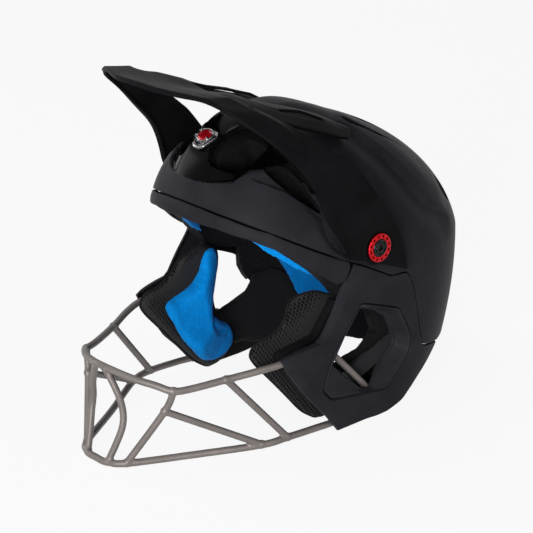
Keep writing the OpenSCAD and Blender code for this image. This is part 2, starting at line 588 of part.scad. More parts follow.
module pivot_insert() {
    color("#9a9ca0") difference() {
        union() {
            translate([0, 0, insert_x - 9]) cylinder(h = 9, r = 6);
            translate([0, 0, insert_x - 2]) cylinder(h = 2, r = 7);
        }
        translate([0, 0, insert_x - 12]) cylinder(h = 20, r = 3 + run_gap);
    }
}

// Cage, from points on the tubes' middle lines
function ahead(y) = y * (cage_reach - tube_r) / 219.5;
function bar_pts(list) = [for (p = list) [p[0], ahead(p[1]), p[2]]];
low_z = tube_r * cos(18);
upper_half = [[0, -208.5, cage_top_h], [30, -200, cage_top_h - 5], [48, -190, 74], [60, -180.5, 69.5],
    [66, -166, 69], [77, -139.5, 71.8], [88, -117, 75], [94.5, -97.5, 77], [94.8, -75, 77.5],
    [94, -50, 77.5]];
lower_half = [[0, -219.5, low_z], [9, -219.5, low_z], [15, -217.5, low_z], [28, -208.5, low_z + 0.5],
    [58, -161, low_z + 2.4], [88, -115, low_z + 5.6], [93.5, -92, low_z + 6.4], [94.5, -60, low_z + 4.6],
    [94, -40, low_z + 3.2], [93, 10, low_z + 3]];
function hoop(half) = bar_pts(both(half));
function shorten(p, a, b) = let (n = len(p) - 1) [for (i = [0:n])
    i == 0 ? p[0] + unit(p[1] - p[0]) * a : i == n ? p[n] + unit(p[n - 1] - p[n]) * b : p[i]];
module strut(pts, a, b) {
    color(steel) tube(shorten(bar_pts(pts), a * tube_r, b * tube_r));
}
module cage_upper_hoop() color(steel) tube(spline(hoop(upper_half), 2));
module cage_lower_hoop() color(steel) tube(spline(hoop(lower_half), 2));
module front_strut() strut([
    [7, -208, cage_top_h - 1.5], [19, -204, 58], [22, -204, 38], [18, -211, 18], [14, -217.5, 3]], 1.6, 1.5);
module corner_strut() strut([[60, -180.5, 69.5], [53, -185.2, 50.9], [27.7, -208.5, 3.5]], 1.5, 1.9);
module cross_strut() strut([[53, -185.2, 50.9], [88, -115, 9]], 1.6, 3.3);
module side_strut() strut([[77, -139.5, 71.8], [93.5, -92, 9.6]], 1.7, 2.3);
module rear_strut() strut([[94, -52, 77.5], [93, -35, 62.6], [93, -2, 24.4], [93, 11, 6]], 1.4, 1.9);

// Clamps that hold the cage to the cheek shells from inside
clamp_y = -72;
module cage_clamp() {
    rod = [94.8, clamp_y, 77.4];
    x1 = side_x(clamp_y - 7, 64, shell_wall) - fit_gap;
    color("#2d2f33") difference() {
        translate([rod[0] - tube_r - 1.6, clamp_y - 7, rod[2] - 14])
            cube([x1 - rod[0] + tube_r + 1.2, 14, 19]);
        translate(rod) rotate([90, 0, 0]) cylinder(h = 30, r = tube_r + 0.4, center = true);
        translate([80, clamp_y, rod[2] - 9.5]) rotate([0, 90, 0])
            cylinder(h = 40, r = clamp_screw_r + run_gap);
    }
}
module clamp_screw() {
    x0 = 94.8 - tube_r - 1.7;
    color("#77797d") translate([x0, clamp_y, 77.4 - 9.5]) rotate([0, 90, 0]) {
        translate([0, 0, 0.1]) cylinder(h = 8, r = clamp_screw_r);
        translate([0, 0, -1.8]) cylinder(h = 1.8, r = clamp_screw_r * 1.9);
    }
}

// Chin strap halves, stowed in the ear openings: from an anchor behind the ear, through
// the buckle's slot and back along themselves
anchor_x = side_x(48, 60, shell_wall) - fit_gap - 3.1;
strap_x = anchor_x - strap_t / 2 - fit_gap;
strap_path = [[strap_x - 0.1, 51, 61], [strap_x - 0.7, 45, 59], [91, 38.5, 56.7], [86.8, 31, 54], [86.4, 22, 50.7],
    [86.8, 6, 45.3], [87.4, -8, 40.5], [87.4, -15, 38.2],
    [86.1, -17.6, 37.4], [84.8, -15, 38.2], [84.8, -4, 41.8], [84.8, 8, 45.7]];
strap_ref = [0, 0.31, -0.95];
module strap() {
    color("#121315") bar(spline(strap_path, 2), strap_w, strap_t, ref = strap_ref, sides = 8, n = 6);
}
module strap_anchor() {
    color("#3a3c40") difference() {
        translate([anchor_x, 48, 60]) rotate([-18, 0, 0]) translate([0, -4, -8]) cube([2.2, 8, 16]);
        translate([90, 49, 60]) rotate([0, 90, 0]) cylinder(h = 30, r = 1.6);
    }
}

// Buckle halves, drawn along X with the strap's loop entering at x = 0
buckle_w = strap_w + 4;
tongue_t = buckle_t * 0.36;
module at_buckle() {
    multmatrix([[0, 0, 1, 86.1], [-0.951, 0.309, 0, -14], [-0.309, -0.951, 0, 38.6], [0, 0, 0, 1]])
        children();
}
module block(x0, x1, w, t) {
    translate([x0, -w / 2, -t / 2]) cube([x1 - x0, w, t]);
}
module strap_slot() {
    block(-1, 6, strap_w + 1.2, 2.6 + strap_t + 0.8);
}
module buckle_body() {
    color("#1a1b1e") at_buckle() difference() {
        block(0, buckle_l * 0.55, buckle_w, buckle_t);
        strap_slot();
        block(7.5, buckle_l, 14.8, tongue_t + 0.6);
        translate([11.5, 0, -buckle_t]) cylinder(h = buckle_t, r = 3.4 + run_gap);
    }
}
module buckle_tongue() {
    color("#1a1b1e") at_buckle() difference() {
        union() {
            block(0, 8.5, buckle_w, buckle_t * 0.9);
            block(8, buckle_l * 0.55, 14, tongue_t);
        }
        strap_slot();
    }
}
module buckle_button() {
    h = (buckle_t - tongue_t) / 2;
    color("#b01020") at_buckle() translate([11.5, 0, -buckle_t / 2 - 0.8])
        cylinder(h = h - 0.3 + 0.8 - button_travel, r = 3.4, $fn = 96);
}

place() upper_shell();
place() brow_band();
place() cheek_shell();  // cheek_shell_left
right() cheek_shell();  // cheek_shell_right
place() ear_bezel();  // ear_bezel_left
right() ear_bezel();  // ear_bezel_right
place() badge_setting();
place() badge_disc();
place() crown_liner();
place() nape_liner();
place() cheek_liner();  // cheek_liner_left
right() cheek_liner();  // cheek_liner_right
place() at_pivot(1) pivot_insert();  // pivot_insert_left
right() at_pivot(1) pivot_insert();  // pivot_insert_right
place() brow_pad();
place() crown_pad();
place() rear_pad();
place() cheek_pad();  // cheek_pad_left
right() cheek_pad();  // cheek_pad_right
place() mesh_pad();  // mesh_pad_left
right() mesh_pad();  // mesh_pad_right
place() nape_panel();
place() visor();
place() at_pivot(1) visor_bush();  // visor_bush_left
right() at_pivot(1) visor_bush();  // visor_bush_right
place() at_pivot(1) visor_screw();  // visor_screw_left
right() at_pivot(1) visor_screw();  // visor_screw_right
place() at_pivot(1) visor_ring();  // visor_ring_left
right() at_pivot(1) visor_ring();  // visor_ring_right
place() cage_upper_hoop();
place() cage_lower_hoop();
place() front_strut();  // cage_front_strut_left
right() front_strut();  // cage_front_strut_right
place() corner_strut();  // cage_corner_strut_left
right() corner_strut();  // cage_corner_strut_right
place() cross_strut();  // cage_cross_strut_left
right() cross_strut();  // cage_cross_strut_right
place() side_strut();  // cage_side_strut_left
right() side_strut();  // cage_side_strut_right
place() rear_strut();  // cage_rear_strut_left
right() rear_strut();  // cage_rear_strut_right
place() cage_clamp();  // cage_clamp_left
right() cage_clamp();  // cage_clamp_right
union() {  // clamp_screws
    place() clamp_screw();
    right() clamp_screw();
}
place() strap();  // strap_left
right() strap();  // strap_right
place() strap_anchor();  // strap_anchor_left
right() strap_anchor();  // strap_anchor_right
place() buckle_body();
right() buckle_tongue();
place() buckle_button();
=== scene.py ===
"""Full face bike helmet: matte black shell and visor, welded tube face cage, blue pads.

Everything is drawn in millimetres with y = 0 at the shell's widest section, and new_object()
turns that into metres in the shared frame.
"""
import math

import bmesh
import bpy
import numpy as np
from mathutils import Matrix, Vector


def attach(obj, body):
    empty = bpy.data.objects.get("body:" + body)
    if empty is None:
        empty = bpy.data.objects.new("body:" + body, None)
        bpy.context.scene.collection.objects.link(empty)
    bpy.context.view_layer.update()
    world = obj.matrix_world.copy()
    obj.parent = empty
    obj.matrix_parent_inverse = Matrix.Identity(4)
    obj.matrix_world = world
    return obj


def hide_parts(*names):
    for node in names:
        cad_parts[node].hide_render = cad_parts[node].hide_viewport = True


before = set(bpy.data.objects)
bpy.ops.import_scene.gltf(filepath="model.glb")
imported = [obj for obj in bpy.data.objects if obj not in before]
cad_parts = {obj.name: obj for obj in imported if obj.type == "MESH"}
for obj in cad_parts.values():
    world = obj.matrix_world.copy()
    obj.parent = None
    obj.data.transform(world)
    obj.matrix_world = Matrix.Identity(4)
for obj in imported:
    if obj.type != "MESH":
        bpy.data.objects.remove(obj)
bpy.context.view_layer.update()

MM = 0.001
SECTION_Y = 33.5


# ---- camera, light and floor ----

CAMERA_RIGHT, CAMERA_BACK = (0.6428, 0.7649, -0.0414), (0.7208, -0.5856, 0.3710)
CAMERA_TARGET, CAMERA_AWAY, CAMERA_LENS = (0, 3.5, 117), 1.81197, 143.2


def linked(name, data):
    """A new object in the scene."""
    made = bpy.data.objects.new(name, data)
    bpy.context.scene.collection.objects.link(made)
    return made


def add_camera():
    """The photograph's view: where the camera is, and which way it is turned."""
    data = bpy.data.cameras.new("camera")
    data.sensor_width, data.lens, data.clip_end = 36, CAMERA_LENS, 20
    camera = linked("camera", data)
    right, back = Vector(CAMERA_RIGHT).normalized(), Vector(CAMERA_BACK).normalized()
    turn = Matrix((right, back.cross(right), back)).transposed().to_4x4()
    camera.matrix_world = Matrix.Translation(Vector(CAMERA_TARGET) * MM + back * CAMERA_AWAY) @ turn
    bpy.context.scene.camera = camera


def add_lamp(name, place, aim, size, watts):
    """A soft box of a size in metres, aimed at a point."""
    data = bpy.data.lights.new(name, "AREA")
    data.shape, data.energy = "RECTANGLE", watts
    data.size, data.size_y = size
    lamp = linked(name, data)
    lamp.location = place
    lamp.rotation_euler = (Vector(aim) - Vector(place)).to_track_quat("-Z", "Y").to_euler()


# ---- shaders ----

class Value:
    """A socket that Python's operators work on by adding Math nodes."""

    def __init__(self, tree, socket):
        self.tree, self.socket = tree, socket

    def maths(self, operation, *values):
        return self.tree.node("ShaderNodeMath", {"operation": operation}, dict(enumerate(values)))

    def __add__(self, other):
        return self.maths("ADD", self, other)

    def __sub__(self, other):
        return self.maths("SUBTRACT", self, other)

    def __mul__(self, other):
        return self.maths("MULTIPLY", self, other)

    def __rsub__(self, other):
        return self.maths("SUBTRACT", other, self)

    __radd__ = __add__

    def clipped(self, low, high):
        """0 below low and 1 above high, with a smooth step between."""
        return self.tree.node("ShaderNodeMapRange", {"interpolation_type": "SMOOTHSTEP"},
                              {"Value": self, "From Min": low, "From Max": high})


class Tree:
    """An owner's shader tree, emptied, whose nodes' outputs come back as Values."""

    def __init__(self, owner):
        owner.use_nodes = True
        self.nodes, self.links = owner.node_tree.nodes, owner.node_tree.links
        self.nodes.clear()

    def node(self, kind, settings=None, sockets=None, out=0):
        made = self.nodes.new(kind)
        for key, value in (settings or {}).items():
            setattr(made, key, value)
        for key, value in (sockets or {}).items():
            self.link(value, made.inputs[key])
        return Value(self, made.outputs[out])

    def link(self, value, socket):
        if isinstance(value, Value):
            self.links.new(value.socket, socket)
        else:
            socket.default_value = value

    def shown(self, kind, surface):
        self.link(surface, self.nodes.new(kind).inputs[0])

    def white_rays(self):
        """1 for the rays that find the backdrop white: straight, off a gloss or through glass."""
        camera, glossy, through = (self.node("ShaderNodeLightPath", out=f"Is {ray} Ray")
                                   for ray in ("Camera", "Glossy", "Transmission"))
        return camera.maths("MAXIMUM", camera.maths("MAXIMUM", camera, glossy), through)


class Finish(Tree):
    """A material and its Principled shader, whose constant inputs are given by name."""

    def __init__(self, name, **constants):
        self.material = bpy.data.materials.new(name)
        super().__init__(self.material)
        self.shader = self.nodes.new("ShaderNodeBsdfPrincipled")
        self.shown("ShaderNodeOutputMaterial", Value(self, self.shader.outputs[0]))
        self.feed(**constants)
        self.where = self.node("ShaderNodeTexCoord", out=3)

    def stretched(self, scale, turn=(0, 0, 0)):
        return self.node("ShaderNodeMapping", {}, {"Vector": self.where, "Scale": scale, "Rotation": turn})

    def noise(self, scale, detail=4, where=None):
        return self.node("ShaderNodeTexNoise", {}, {"Vector": where or self.where, "Scale": scale,
                                                   "Detail": detail, "Roughness": 0.55})

    def cells(self, scale, where=None, feature="F1", randomness=1.0):
        return self.node("ShaderNodeTexVoronoi", {"feature": feature}, {
            "Vector": where or self.where, "Scale": scale, "Randomness": randomness})

    def blend(self, factor, first, second):
        """Colours first and second mixed by factor."""
        return self.node("ShaderNodeMix", {"data_type": "RGBA"}, {0: factor, 6: first, 7: second}, 2)

    def feed(self, **values):
        for key, value in values.items():
            self.link(value, self.shader.inputs[key.replace("_", " ")])

    def made(self, colour, roughness, height, strength, distance):
        """Feeds the shader, with a bump from height, and gives the material."""
        bump = self.node("ShaderNodeBump", {}, {"Height": height, "Strength": strength,
                                                "Distance": distance})
        self.feed(Base_Color=colour, Roughness=roughness, Normal=bump)
        return self.material


def cloth(name, sheen, softness, gloss=0.15):
    return Finish(name, Specular_IOR_Level=gloss, Sheen_Weight=sheen, Sheen_Roughness=softness)


def tint(colour, by=1, plus=0):
    return tuple(min(1, c * by + plus) for c in colour) + (1,)


def moulded(name, colour, roughness, grain=0.5, coat=0.0, gloss=0.22):
    """Moulded or painted plastic: a fine grain, faint clouding and a few hairline rubs."""
    f = Finish(name, Coat_Weight=coat, Coat_Roughness=0.3, Specular_IOR_Level=gloss)
    clouds, grit = f.noise(28, 5), f.noise(2600, 2)
    rubs = f.noise(60, 6, f.stretched((1, 9, 2), (0.3, 0.2, 0.5))).clipped(0.66, 0.74)
    tone = f.blend(clouds.clipped(0.25, 0.75), tint(colour, 0.84), tint(colour, 1.22, 0.002))
    rough = roughness + (clouds - 0.5) * 0.12 + (grit - 0.5) * 0.1 - rubs * 0.05
    return f.made(f.blend(rubs * 0.25, tone, tint(colour, 1.6, 0.004)), rough, grit, grain, 0.00012)


def knitted(name, dark, light, pitch):
    """Spacer mesh with rows of small oval holes."""
    f = cloth(name, 0.05, 0.5)
    spots = f.cells(1, f.stretched((1 / (pitch * 3), 1 / (pitch * 0.8), 1 / (pitch * 1.15)), (0.78, 0, 0)),
                    randomness=0.1)
    holes = 1 - spots.clipped(0.34, 0.46)
    threads = f.noise(2400, 2)
    yarn = f.blend(threads.clipped(0.3, 0.7), tint(light, 0.6), tint(light))
    return f.made(f.blend(holes, yarn, tint(dark)), 0.82 + holes * 0.12,
                  (1 - holes) + threads * 0.15, 0.9, 0.0005)


def woven(name, colour, pitch=0.0009, sheen=0.3):
    """Fine cloth with a weave and soft fuzz."""
    f = cloth(name, sheen, 0.45)
    weave = f.cells(1, f.stretched((1 / pitch,) * 3, (0.6, 0.2, 0.4)), randomness=0.25)
    fuzz = f.noise(900, 3)
    tone = f.blend(f.noise(22, 4).clipped(0.3, 0.7), tint(colour, 0.8), tint(colour, 1.15))
    return f.made(f.blend(weave.clipped(0.35, 0.8) * 0.35, tone, tint(colour, 0.55)),
                  0.8 + fuzz * 0.15, weave * -0.7 + fuzz * 0.5, 0.5, 0.00035)


def embossed(name, colour):
    """Blue lining cloth pressed into a pattern of small soft hexagons."""
    f = cloth(name, 0.06, 0.4, 0.1)
    cells = f.cells(1 / 0.0045, f.stretched((0.02, 1, 1)), "DISTANCE_TO_EDGE", 0.25)
    seams = 1 - cells.clipped(0.0, 0.13)
    fuzz = f.noise(1500, 3)
    tone = f.blend(f.noise(30, 4).clipped(0.3, 0.7), tint(colour, 0.86), tint(colour, 1.12))
    return f.made(f.blend(seams * 0.3, tone, tint(colour, 0.6)), 0.78 + fuzz * 0.15,
                  (1 - seams) + fuzz * 0.12, 0.5, 0.0003)


def beaded(name, colour):
    """Black expanded foam, with the outlines of its beads."""
    f = Finish(name, Specular_IOR_Level=0.12)
    gaps = 1 - f.cells(300, None, "DISTANCE_TO_EDGE").clipped(0.0, 0.08)
    grit = f.noise(1200, 2)
    tone = f.blend(f.noise(260, 2).clipped(0.35, 0.65), tint(colour, 0.8), tint(colour, 1.25))
    return f.made(f.blend(gaps * 0.6, tone, tint(colour, 0.35)), 0.72 + grit * 0.15,
                  (1 - gaps) + grit * 0.2, 0.5, 0.0003)


def coated_wire(name, colour):
    """Satin powder coat on steel tube: an orange peel surface with a metallic cast."""
    f = Finish(name, Metallic=0.35)
    peel = f.noise(1400, 3)
    worn = f.noise(150, 6).clipped(0.62, 0.72)
    tone = f.blend(f.noise(45, 4).clipped(0.3, 0.7), tint(colour, 0.9), tint(colour, 1.1))
    return f.made(f.blend(worn * 0.3, tone, tint(colour, 1.35)),
                  0.5 + (peel - 0.5) * 0.12 - worn * 0.06, peel, 0.35, 0.0001)


def machined(name, colour, roughness, metallic=1.0, turned=True):
    """Bright or anodised metal with fine tool marks."""
    f = Finish(name, Metallic=metallic)
    marks = f.noise(900, 4, f.stretched((4, 1, 1) if turned else (1, 6, 1)))
    return f.made(f.blend(marks.clipped(0.3, 0.7), tint(colour, 0.85), tint(colour, 1.1)),
                  roughness + (marks - 0.5) * 0.15, marks, 0.15, 0.00008)


# ---- shell form ----

HALF_W, CROWN, WIDEST = 108, 255, 131
LEAN, WALL = 31.3, 2.5
HEAD = (25, 27, 38, 29)
HEAD_MIDDLE = np.array((0, -8, 150.0))


def mix(a, b, t):
    return a + (b - a) * t


def ease(t):
    t = np.clip(t, 0, 1)
    return t * t * (3 - 2 * t)


def power(v, p):
    return np.sign(v) * np.abs(v) ** p


def unit(v):
    return v / np.maximum(np.linalg.norm(v, axis=-1, keepdims=True), 1e-9)


def inward(points, depth):
    """Points moved by a depth towards the head's middle."""
    return points - unit(points - HEAD_MIDDLE) * depth[..., None]


def all_round(d):
    return (d, d, d, d)


def lookup(x, table):
    xs, ys = zip(*table)
    return np.interp(x, xs, ys)


def low_share(z):
    return np.maximum(0, (WIDEST - z) / WIDEST)


def half_width(z, d):
    return (HALF_W - d) * (1 - 0.07 * low_share(z) ** 2)


def plan_power(z, front):
    return np.where(front, 2.3 + 1.7 * ease((WIDEST - z) / 39), 2.3)


def reach(z, inset, front):
    ahead = mix(118, 150, ease((WIDEST - z) / 39)) - inset[1]
    behind = (155.5 - inset[2]) * (1 - 0.243 * low_share(z) ** 2)
    return np.where(front, ahead, behind)


def shell_at(azimuth, step, inset=(0, 0, 0, 0)):
    """Point at an azimuth in degrees and a step of 0 at the crown, 1 at the widest, 2 at z = 0."""
    turn, step = np.broadcast_arrays(np.radians(azimuth), np.asarray(step, float))
    top = step <= 1
    k = np.where(top, np.sin(math.pi / 2 * step), 1)
    c = np.where(top, np.cos(math.pi / 2 * step), 0)
    z = np.where(top, WIDEST + (CROWN - inset[3] - WIDEST) * c, WIDEST * (2 - step))
    front = np.sin(turn) < 0
    n = plan_power(z, front)
    x = half_width(z, inset[0]) * k * power(np.cos(turn), 2 / n)
    y = -LEAN * c + reach(z, inset, front) * k * power(np.sin(turn), 2 / n)
    return np.stack([x, y, z], -1)


def side_x(y, z, inset=0.0):
    inset = inset if isinstance(inset, tuple) else all_round(inset)
    y, z = np.broadcast_arrays(np.asarray(y, float), np.asarray(z, float))
    c = np.maximum(0, (z - WIDEST) / (CROWN - inset[3] - WIDEST))
    k = np.sqrt(np.maximum(0.02, 1 - c * c))
    front = y + LEAN * c < 0
    n = plan_power(z, front)
    q = np.minimum(0.999, np.abs(y + LEAN * c) / (reach(z, inset, front) * k))
    return half_width(z, inset[0]) * k * (1 - q ** n) ** (1 / n)


def spine(p):
    return (9 * ease((42 - np.abs(p[..., 0])) / 30) * ease((p[..., 1] + 122) / 30)
            * ease((52 - p[..., 1]) / 70) * ease((p[..., 2] - 195) / 20))


def raised(p):
    return p + spine(p)[..., None] * (0, 0, 1)


def on_shell(points):
    """Points moved along their lines from the head's middle on to the shell."""
    points = np.asarray(points, float)
    way = points - HEAD_MIDDLE
    low, high = np.full(len(points), 0.3), np.full(len(points), 1.8)
    for _ in range(30):
        t = (low + high) / 2
        p = HEAD_MIDDLE + way * t[:, None]
        z = p[:, 2] - spine(p)
        c = np.clip((z - WIDEST) / (CROWN - WIDEST), 0, 0.9999)
        k = np.sqrt(1 - c * c)
        front = p[:, 1] + LEAN * c < 0
        n = plan_power(z, front)
        level = (np.abs(p[:, 1] + LEAN * c) / (reach(z, all_round(0), front) * k)) ** n
        level = level + (np.abs(p[:, 0]) / (half_width(z, 0) * k)) ** n
        out = (level > 1) | (z > CROWN)
        high, low = np.where(out, t, high), np.where(out, low, t)
    return HEAD_MIDDLE + way * low[:, None]


# ---- curves and outlines ----

def curve(points, n=6):
    """Catmull-Rom curve through points, with n spans between neighbours."""
    p = np.asarray(points, float)
    p = np.concatenate([p[:1], p, p[-1:]])
    t = (np.arange(n) / n)[:, None]
    out = [((2 * b + (c - a) * t + (2 * a - 5 * b + 4 * c - d) * t ** 2
             + (3 * b - a - 3 * c + d) * t ** 3) / 2) for a, b, c, d in zip(p, p[1:], p[2:], p[3:])]
    return np.concatenate(out + [p[-1:]])


def rounded_outline(points, cut=0.18, times=3):
    """A closed outline with its corners cut back, again and again."""
    p = np.asarray(points, float)
    for _ in range(times):
        q = np.roll(p, -1, 0)
        p = np.stack([mix(p, q, cut), mix(p, q, 1 - cut)], 1).reshape(-1, p.shape[1])
    return p


def evenly(points, count, closed=False):
    """Points at equal distances along a line."""
    p = np.asarray(points, float)
    if closed:
        p = np.concatenate([p, p[:1]])
    run = np.concatenate([[0], np.cumsum(np.linalg.norm(np.diff(p, axis=0), axis=1))])
    at = np.linspace(0, run[-1], count + 1 if closed else count)
    out = np.stack([np.interp(at, run, p[:, i]) for i in range(p.shape[1])], 1)
    return out[:-1] if closed else out


def beside(points, path, side_of):
    """For points near a path: the distance from it, the side, and the share along it."""
    best = np.full(points.shape[:-1], 1e9)
    side, along = np.zeros_like(best), np.zeros_like(best)
    for k, (a, b) in enumerate(zip(path, path[1:])):
        way = b - a
        t = np.clip(((points - a) @ way) / (way @ way), 0, 1)
        off = points - (a + t[..., None] * way)
        away = np.linalg.norm(off, axis=-1)
        near = away < best
        best = np.where(near, away, best)
        side = np.where(near, side_of(off, way, (a + b) / 2), side)
        along = np.where(near, (k + t) / (len(path) - 1), along)
    return best, side, along


def crest(points, path, height, width):
    """Moves points out on the first side of a path and leaves the other side, as a soft step."""
    out = unit(points - HEAD_MIDDLE)
    best, side, along = beside(points, np.asarray(path, float),
                               lambda off, way, _: np.sum(off * np.cross(out, unit(way)), -1))
    share = ease(side / width + 0.5) * ease(along / 0.12) * ease((1 - along) / 0.12)
    return points + out * (height * share * ease((40 - best) / 26))[..., None]


def ledge(points, path, depth, width, fade):
    """Sinks the face on one side of a path, with a crisp edge along the path."""
    best, side, along = beside(points, on_shell(curve(path, 8)),
                               lambda off, way, middle: off @ np.cross(way, middle - HEAD_MIDDLE))
    share = ease(best / width) * ease((fade - best) / (fade - width)) * (side > 0)
    return inward(points, depth * share * ease(along / 0.12) * ease((1 - along) / 0.1))


# ---- meshes ----

def slab(outer, inner, wrap=False):
    """Points and faces of a sheet between two grids."""
    rows, cols = outer.shape[:2]
    m = rows * cols
    index = np.arange(m).reshape(rows, cols)
    if wrap:
        index = np.concatenate([index, index[:, :1]], 1)
    a, b, c, d = index[:-1, :-1], index[:-1, 1:], index[1:, 1:], index[1:, :-1]
    faces = np.stack([a, b, c, d], -1).reshape(-1, 4)
    faces = np.concatenate([faces, faces[:, ::-1] + m])
    rims = [index[-1]] if wrap else [index[-1], index[0, ::-1], index[::-1, -1], index[:, 0]]
    sides = [np.stack([r[:-1], r[:-1] + m, r[1:] + m, r[1:]], -1) for r in rims]
    faces = np.concatenate([faces] + sides).tolist()
    if wrap:
        faces += [list(range(cols)), list(range(m, m + cols))]
    return np.concatenate([outer.reshape(-1, 3), inner.reshape(-1, 3)]), faces


def loft(rings, closed=False, capped=True):
    """A solid through rings with the same number of points, closed on itself or capped."""
    rings = np.asarray(rings, float)
    row = np.arange(rings.shape[0] * rings.shape[1]).reshape(rings.shape[:2])
    if closed:
        row = np.concatenate([row, row[:1]])
    after = np.roll(row, -1, 1)
    faces = np.stack([row[:-1], after[:-1], after[1:], row[1:]], -1).reshape(-1, 4).tolist()
    if capped and not closed:
        faces += [row[0].tolist(), row[-1].tolist()]
    return rings.reshape(-1, 3), faces


def swept(path, width, height, ref=(0, 0, 1), sides=16, square=2.0, closed=False):
    """A bar along a path, width wide along ref, with a section from round to square."""
    p = np.asarray(path, float)
    way = unit(np.roll(p, -1, 0) - np.roll(p, 1, 0) if closed else np.gradient(p, axis=0))
    v = unit(np.cross(way, np.broadcast_to(np.asarray(ref, float), p.shape)))
    u = np.cross(v, way)
    turn = 2 * math.pi * (np.arange(sides) + 0.5) / sides
    return loft(p[:, None] + u[:, None] * (width / 2 * power(np.cos(turn), 2 / square)[:, None])
                + v[:, None] * (height / 2 * power(np.sin(turn), 2 / square)[:, None]), closed)


def lathe(profile, segments=96):
    """A closed ring or a disc turned about Z from [radius, height] points."""
    turn = 2 * math.pi * np.arange(segments) / segments
    rings = [np.c_[r * np.cos(turn), r * np.sin(turn), np.full(segments, float(h))] for r, h in profile]
    return loft(rings, min(r for r, _ in profile) > 0, capped=False)


def joined(*solids):
    """Several [points, faces] made into one."""
    points, faces, base = [], [], 0
    for p, f in solids:
        points.append(np.asarray(p, float).reshape(-1, 3))
        faces += [[base + i for i in face] for face in f]
        base += len(points[-1])
    return np.concatenate(points), faces


def new_object(name, solid, finish=None):
    """A mesh object in metres from points drawn in millimetres and their faces."""
    points, faces = solid
    points = (np.asarray(points, float).reshape(-1, 3) + (0, SECTION_Y, 0)) * MM
    mesh = bpy.data.meshes.new(name)
    mesh.from_pydata(points.tolist(), [], faces)
    work = bmesh.new()
    work.from_mesh(mesh)
    bmesh.ops.remove_doubles(work, verts=work.verts, dist=1e-6)
    bmesh.ops.recalc_face_normals(work, faces=work.faces)
    work.to_mesh(mesh)
    work.free()
    if finish:
        mesh.materials.append(finish)
    return linked(name, mesh)


def read(items, key):
    """A vector of every vertex or face, as rows."""
    out = np.empty(len(items) * 3)
    items.foreach_get(key, out)
    return out.reshape(-1, 3)


def mesh_points(piece):
    return read(piece.data.vertices, "co")


def move_points(piece, points):
    piece.data.vertices.foreach_set("co", points.reshape(-1))
    piece.data.update()


def evaluated(piece):
    return piece.evaluated_get(bpy.context.evaluated_depsgraph_get())


def settled(piece):
    """Applies a piece's modifiers."""
    mesh = bpy.data.meshes.new_from_object(evaluated(piece))
    old = piece.data
    piece.modifiers.clear()
    piece.data = mesh
    bpy.data.meshes.remove(old)
    mesh.name = piece.name
    return piece


def modified(piece, kind, **settings):
    """Adds a modifier with its settings and applies it."""
    made = piece.modifiers.new(kind.lower(), kind)
    for key, value in settings.items():
        setattr(made, key, value)
    return settled(piece)


def bevelled(piece, width, angle=45):
    return modified(piece, "BEVEL", width=width * MM, segments=2, limit_method="ANGLE",
                    angle_limit=math.radians(angle))


def remeshed(piece, voxel, smoothings):
    modified(piece, "REMESH", mode="VOXEL", voxel_size=voxel * MM)
    return modified(piece, "SMOOTH", factor=0.5, iterations=smoothings)


DECLARED = {}


def declared(piece, slot, over=(), body="helmet", angle=38, fill=None):
    """Shades a piece, attaches it to its body, hides the nodes it stands for, and notes its slot and
    filling for twin().
    """
    piece.data.shade_smooth()
    piece.data.set_sharp_from_angle(angle=math.radians(angle))
    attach(piece, body)
    if over:
        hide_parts(*over)
    DECLARED[piece.name] = slot, over, body, angle, fill
    return piece


def part(name, solid, finish, slot, over=(), body="helmet", angle=38, edge=0.0):
    """A piece from its points and faces, with its edges rounded where edge is given."""
    made = new_object(name, solid, finish)
    if edge:
        bevelled(made, edge)
    return declared(made, slot, over, body, angle)


def twin(*pieces):
    """The same pieces on the right side, declared as the left ones are."""
    for piece in pieces:
        slot, over, body, angle, fill = DECLARED[piece.name]
        mesh = piece.data.copy()
        mesh.transform(Matrix.Diagonal((-1, 1, 1, 1)))
        mesh.flip_normals()
        made = linked(piece.name.replace("left", "right"), mesh)
        declared(made, slot, [node.replace("left", "right") for node in over],
                 body.replace("left", "right"), angle, fill)


def cut(piece, solids):
    """Takes closed cutters out of a piece."""
    cutter = new_object("cutter", joined(*solids))
    made = piece.modifiers.new("cut", "BOOLEAN")
    made.object, made.operation, made.solver = cutter, "DIFFERENCE", "MANIFOLD"
    settled(piece)
    bpy.data.objects.remove(cutter)
    return piece


# ---- outlines of the pieces, as [behind the widest section, height] ----

SHELL_EDGE = [(-160, 226), (-28, 149), (-13.5, 142.6), (2.5, 133.6), (16, 125.6), (34, 123.8),
              (39.6, 118), (45.1, 103), (49.6, 83), (53.6, 63), (58.6, 46.6), (72, 41.6), (88, 37.6),
              (180, 33)]
BAND_TOP = [(-90, 199.4), (-78, 198.4), (-61, 193.4), (-41, 183.4), (-28, 171), (-19, 161), (-9, 149.4)]
BAND_LOW = [(-90, 187), (-69, 185), (-52, 178.6), (-40, 170), (-30, 158.5), (-22, 142), (-17, 133),
            (-13, 134), (-9, 146.6)]
LINER_EDGE = [(-160, 188.5), (-119, 188.5), (-113.5, 186.5), (-100.5, 180.2), (-86.5, 171.8),
              (-70.5, 160.4), (-47.5, 139), (-38, 128), (-31, 116), (-24, 110), (-14, 108), (-1, 102),
              (6, 90), (8.5, 80), (16, 66), (56, 66), (64, 50), (180, 38)]
CHEEK_FRONT = [(0, -42), (20, -57), (40, -74), (55, -84), (70, -94), (83, -99.5), (86, -84), (88, -66),
               (92, -60), (102, -53), (120, -40), (133, -32), (146, -23.5)]
CHEEK_REAR = [(0, 12), (4, 34), (15, 51), (29, 75), (37.3, 88), (41.5, 72), (46.5, 58), (63, 53), (83, 49),
              (103, 44.5), (118, 39), (123, 34), (125, 16), (133, 2.5), (142, -13.5), (146, -22)]
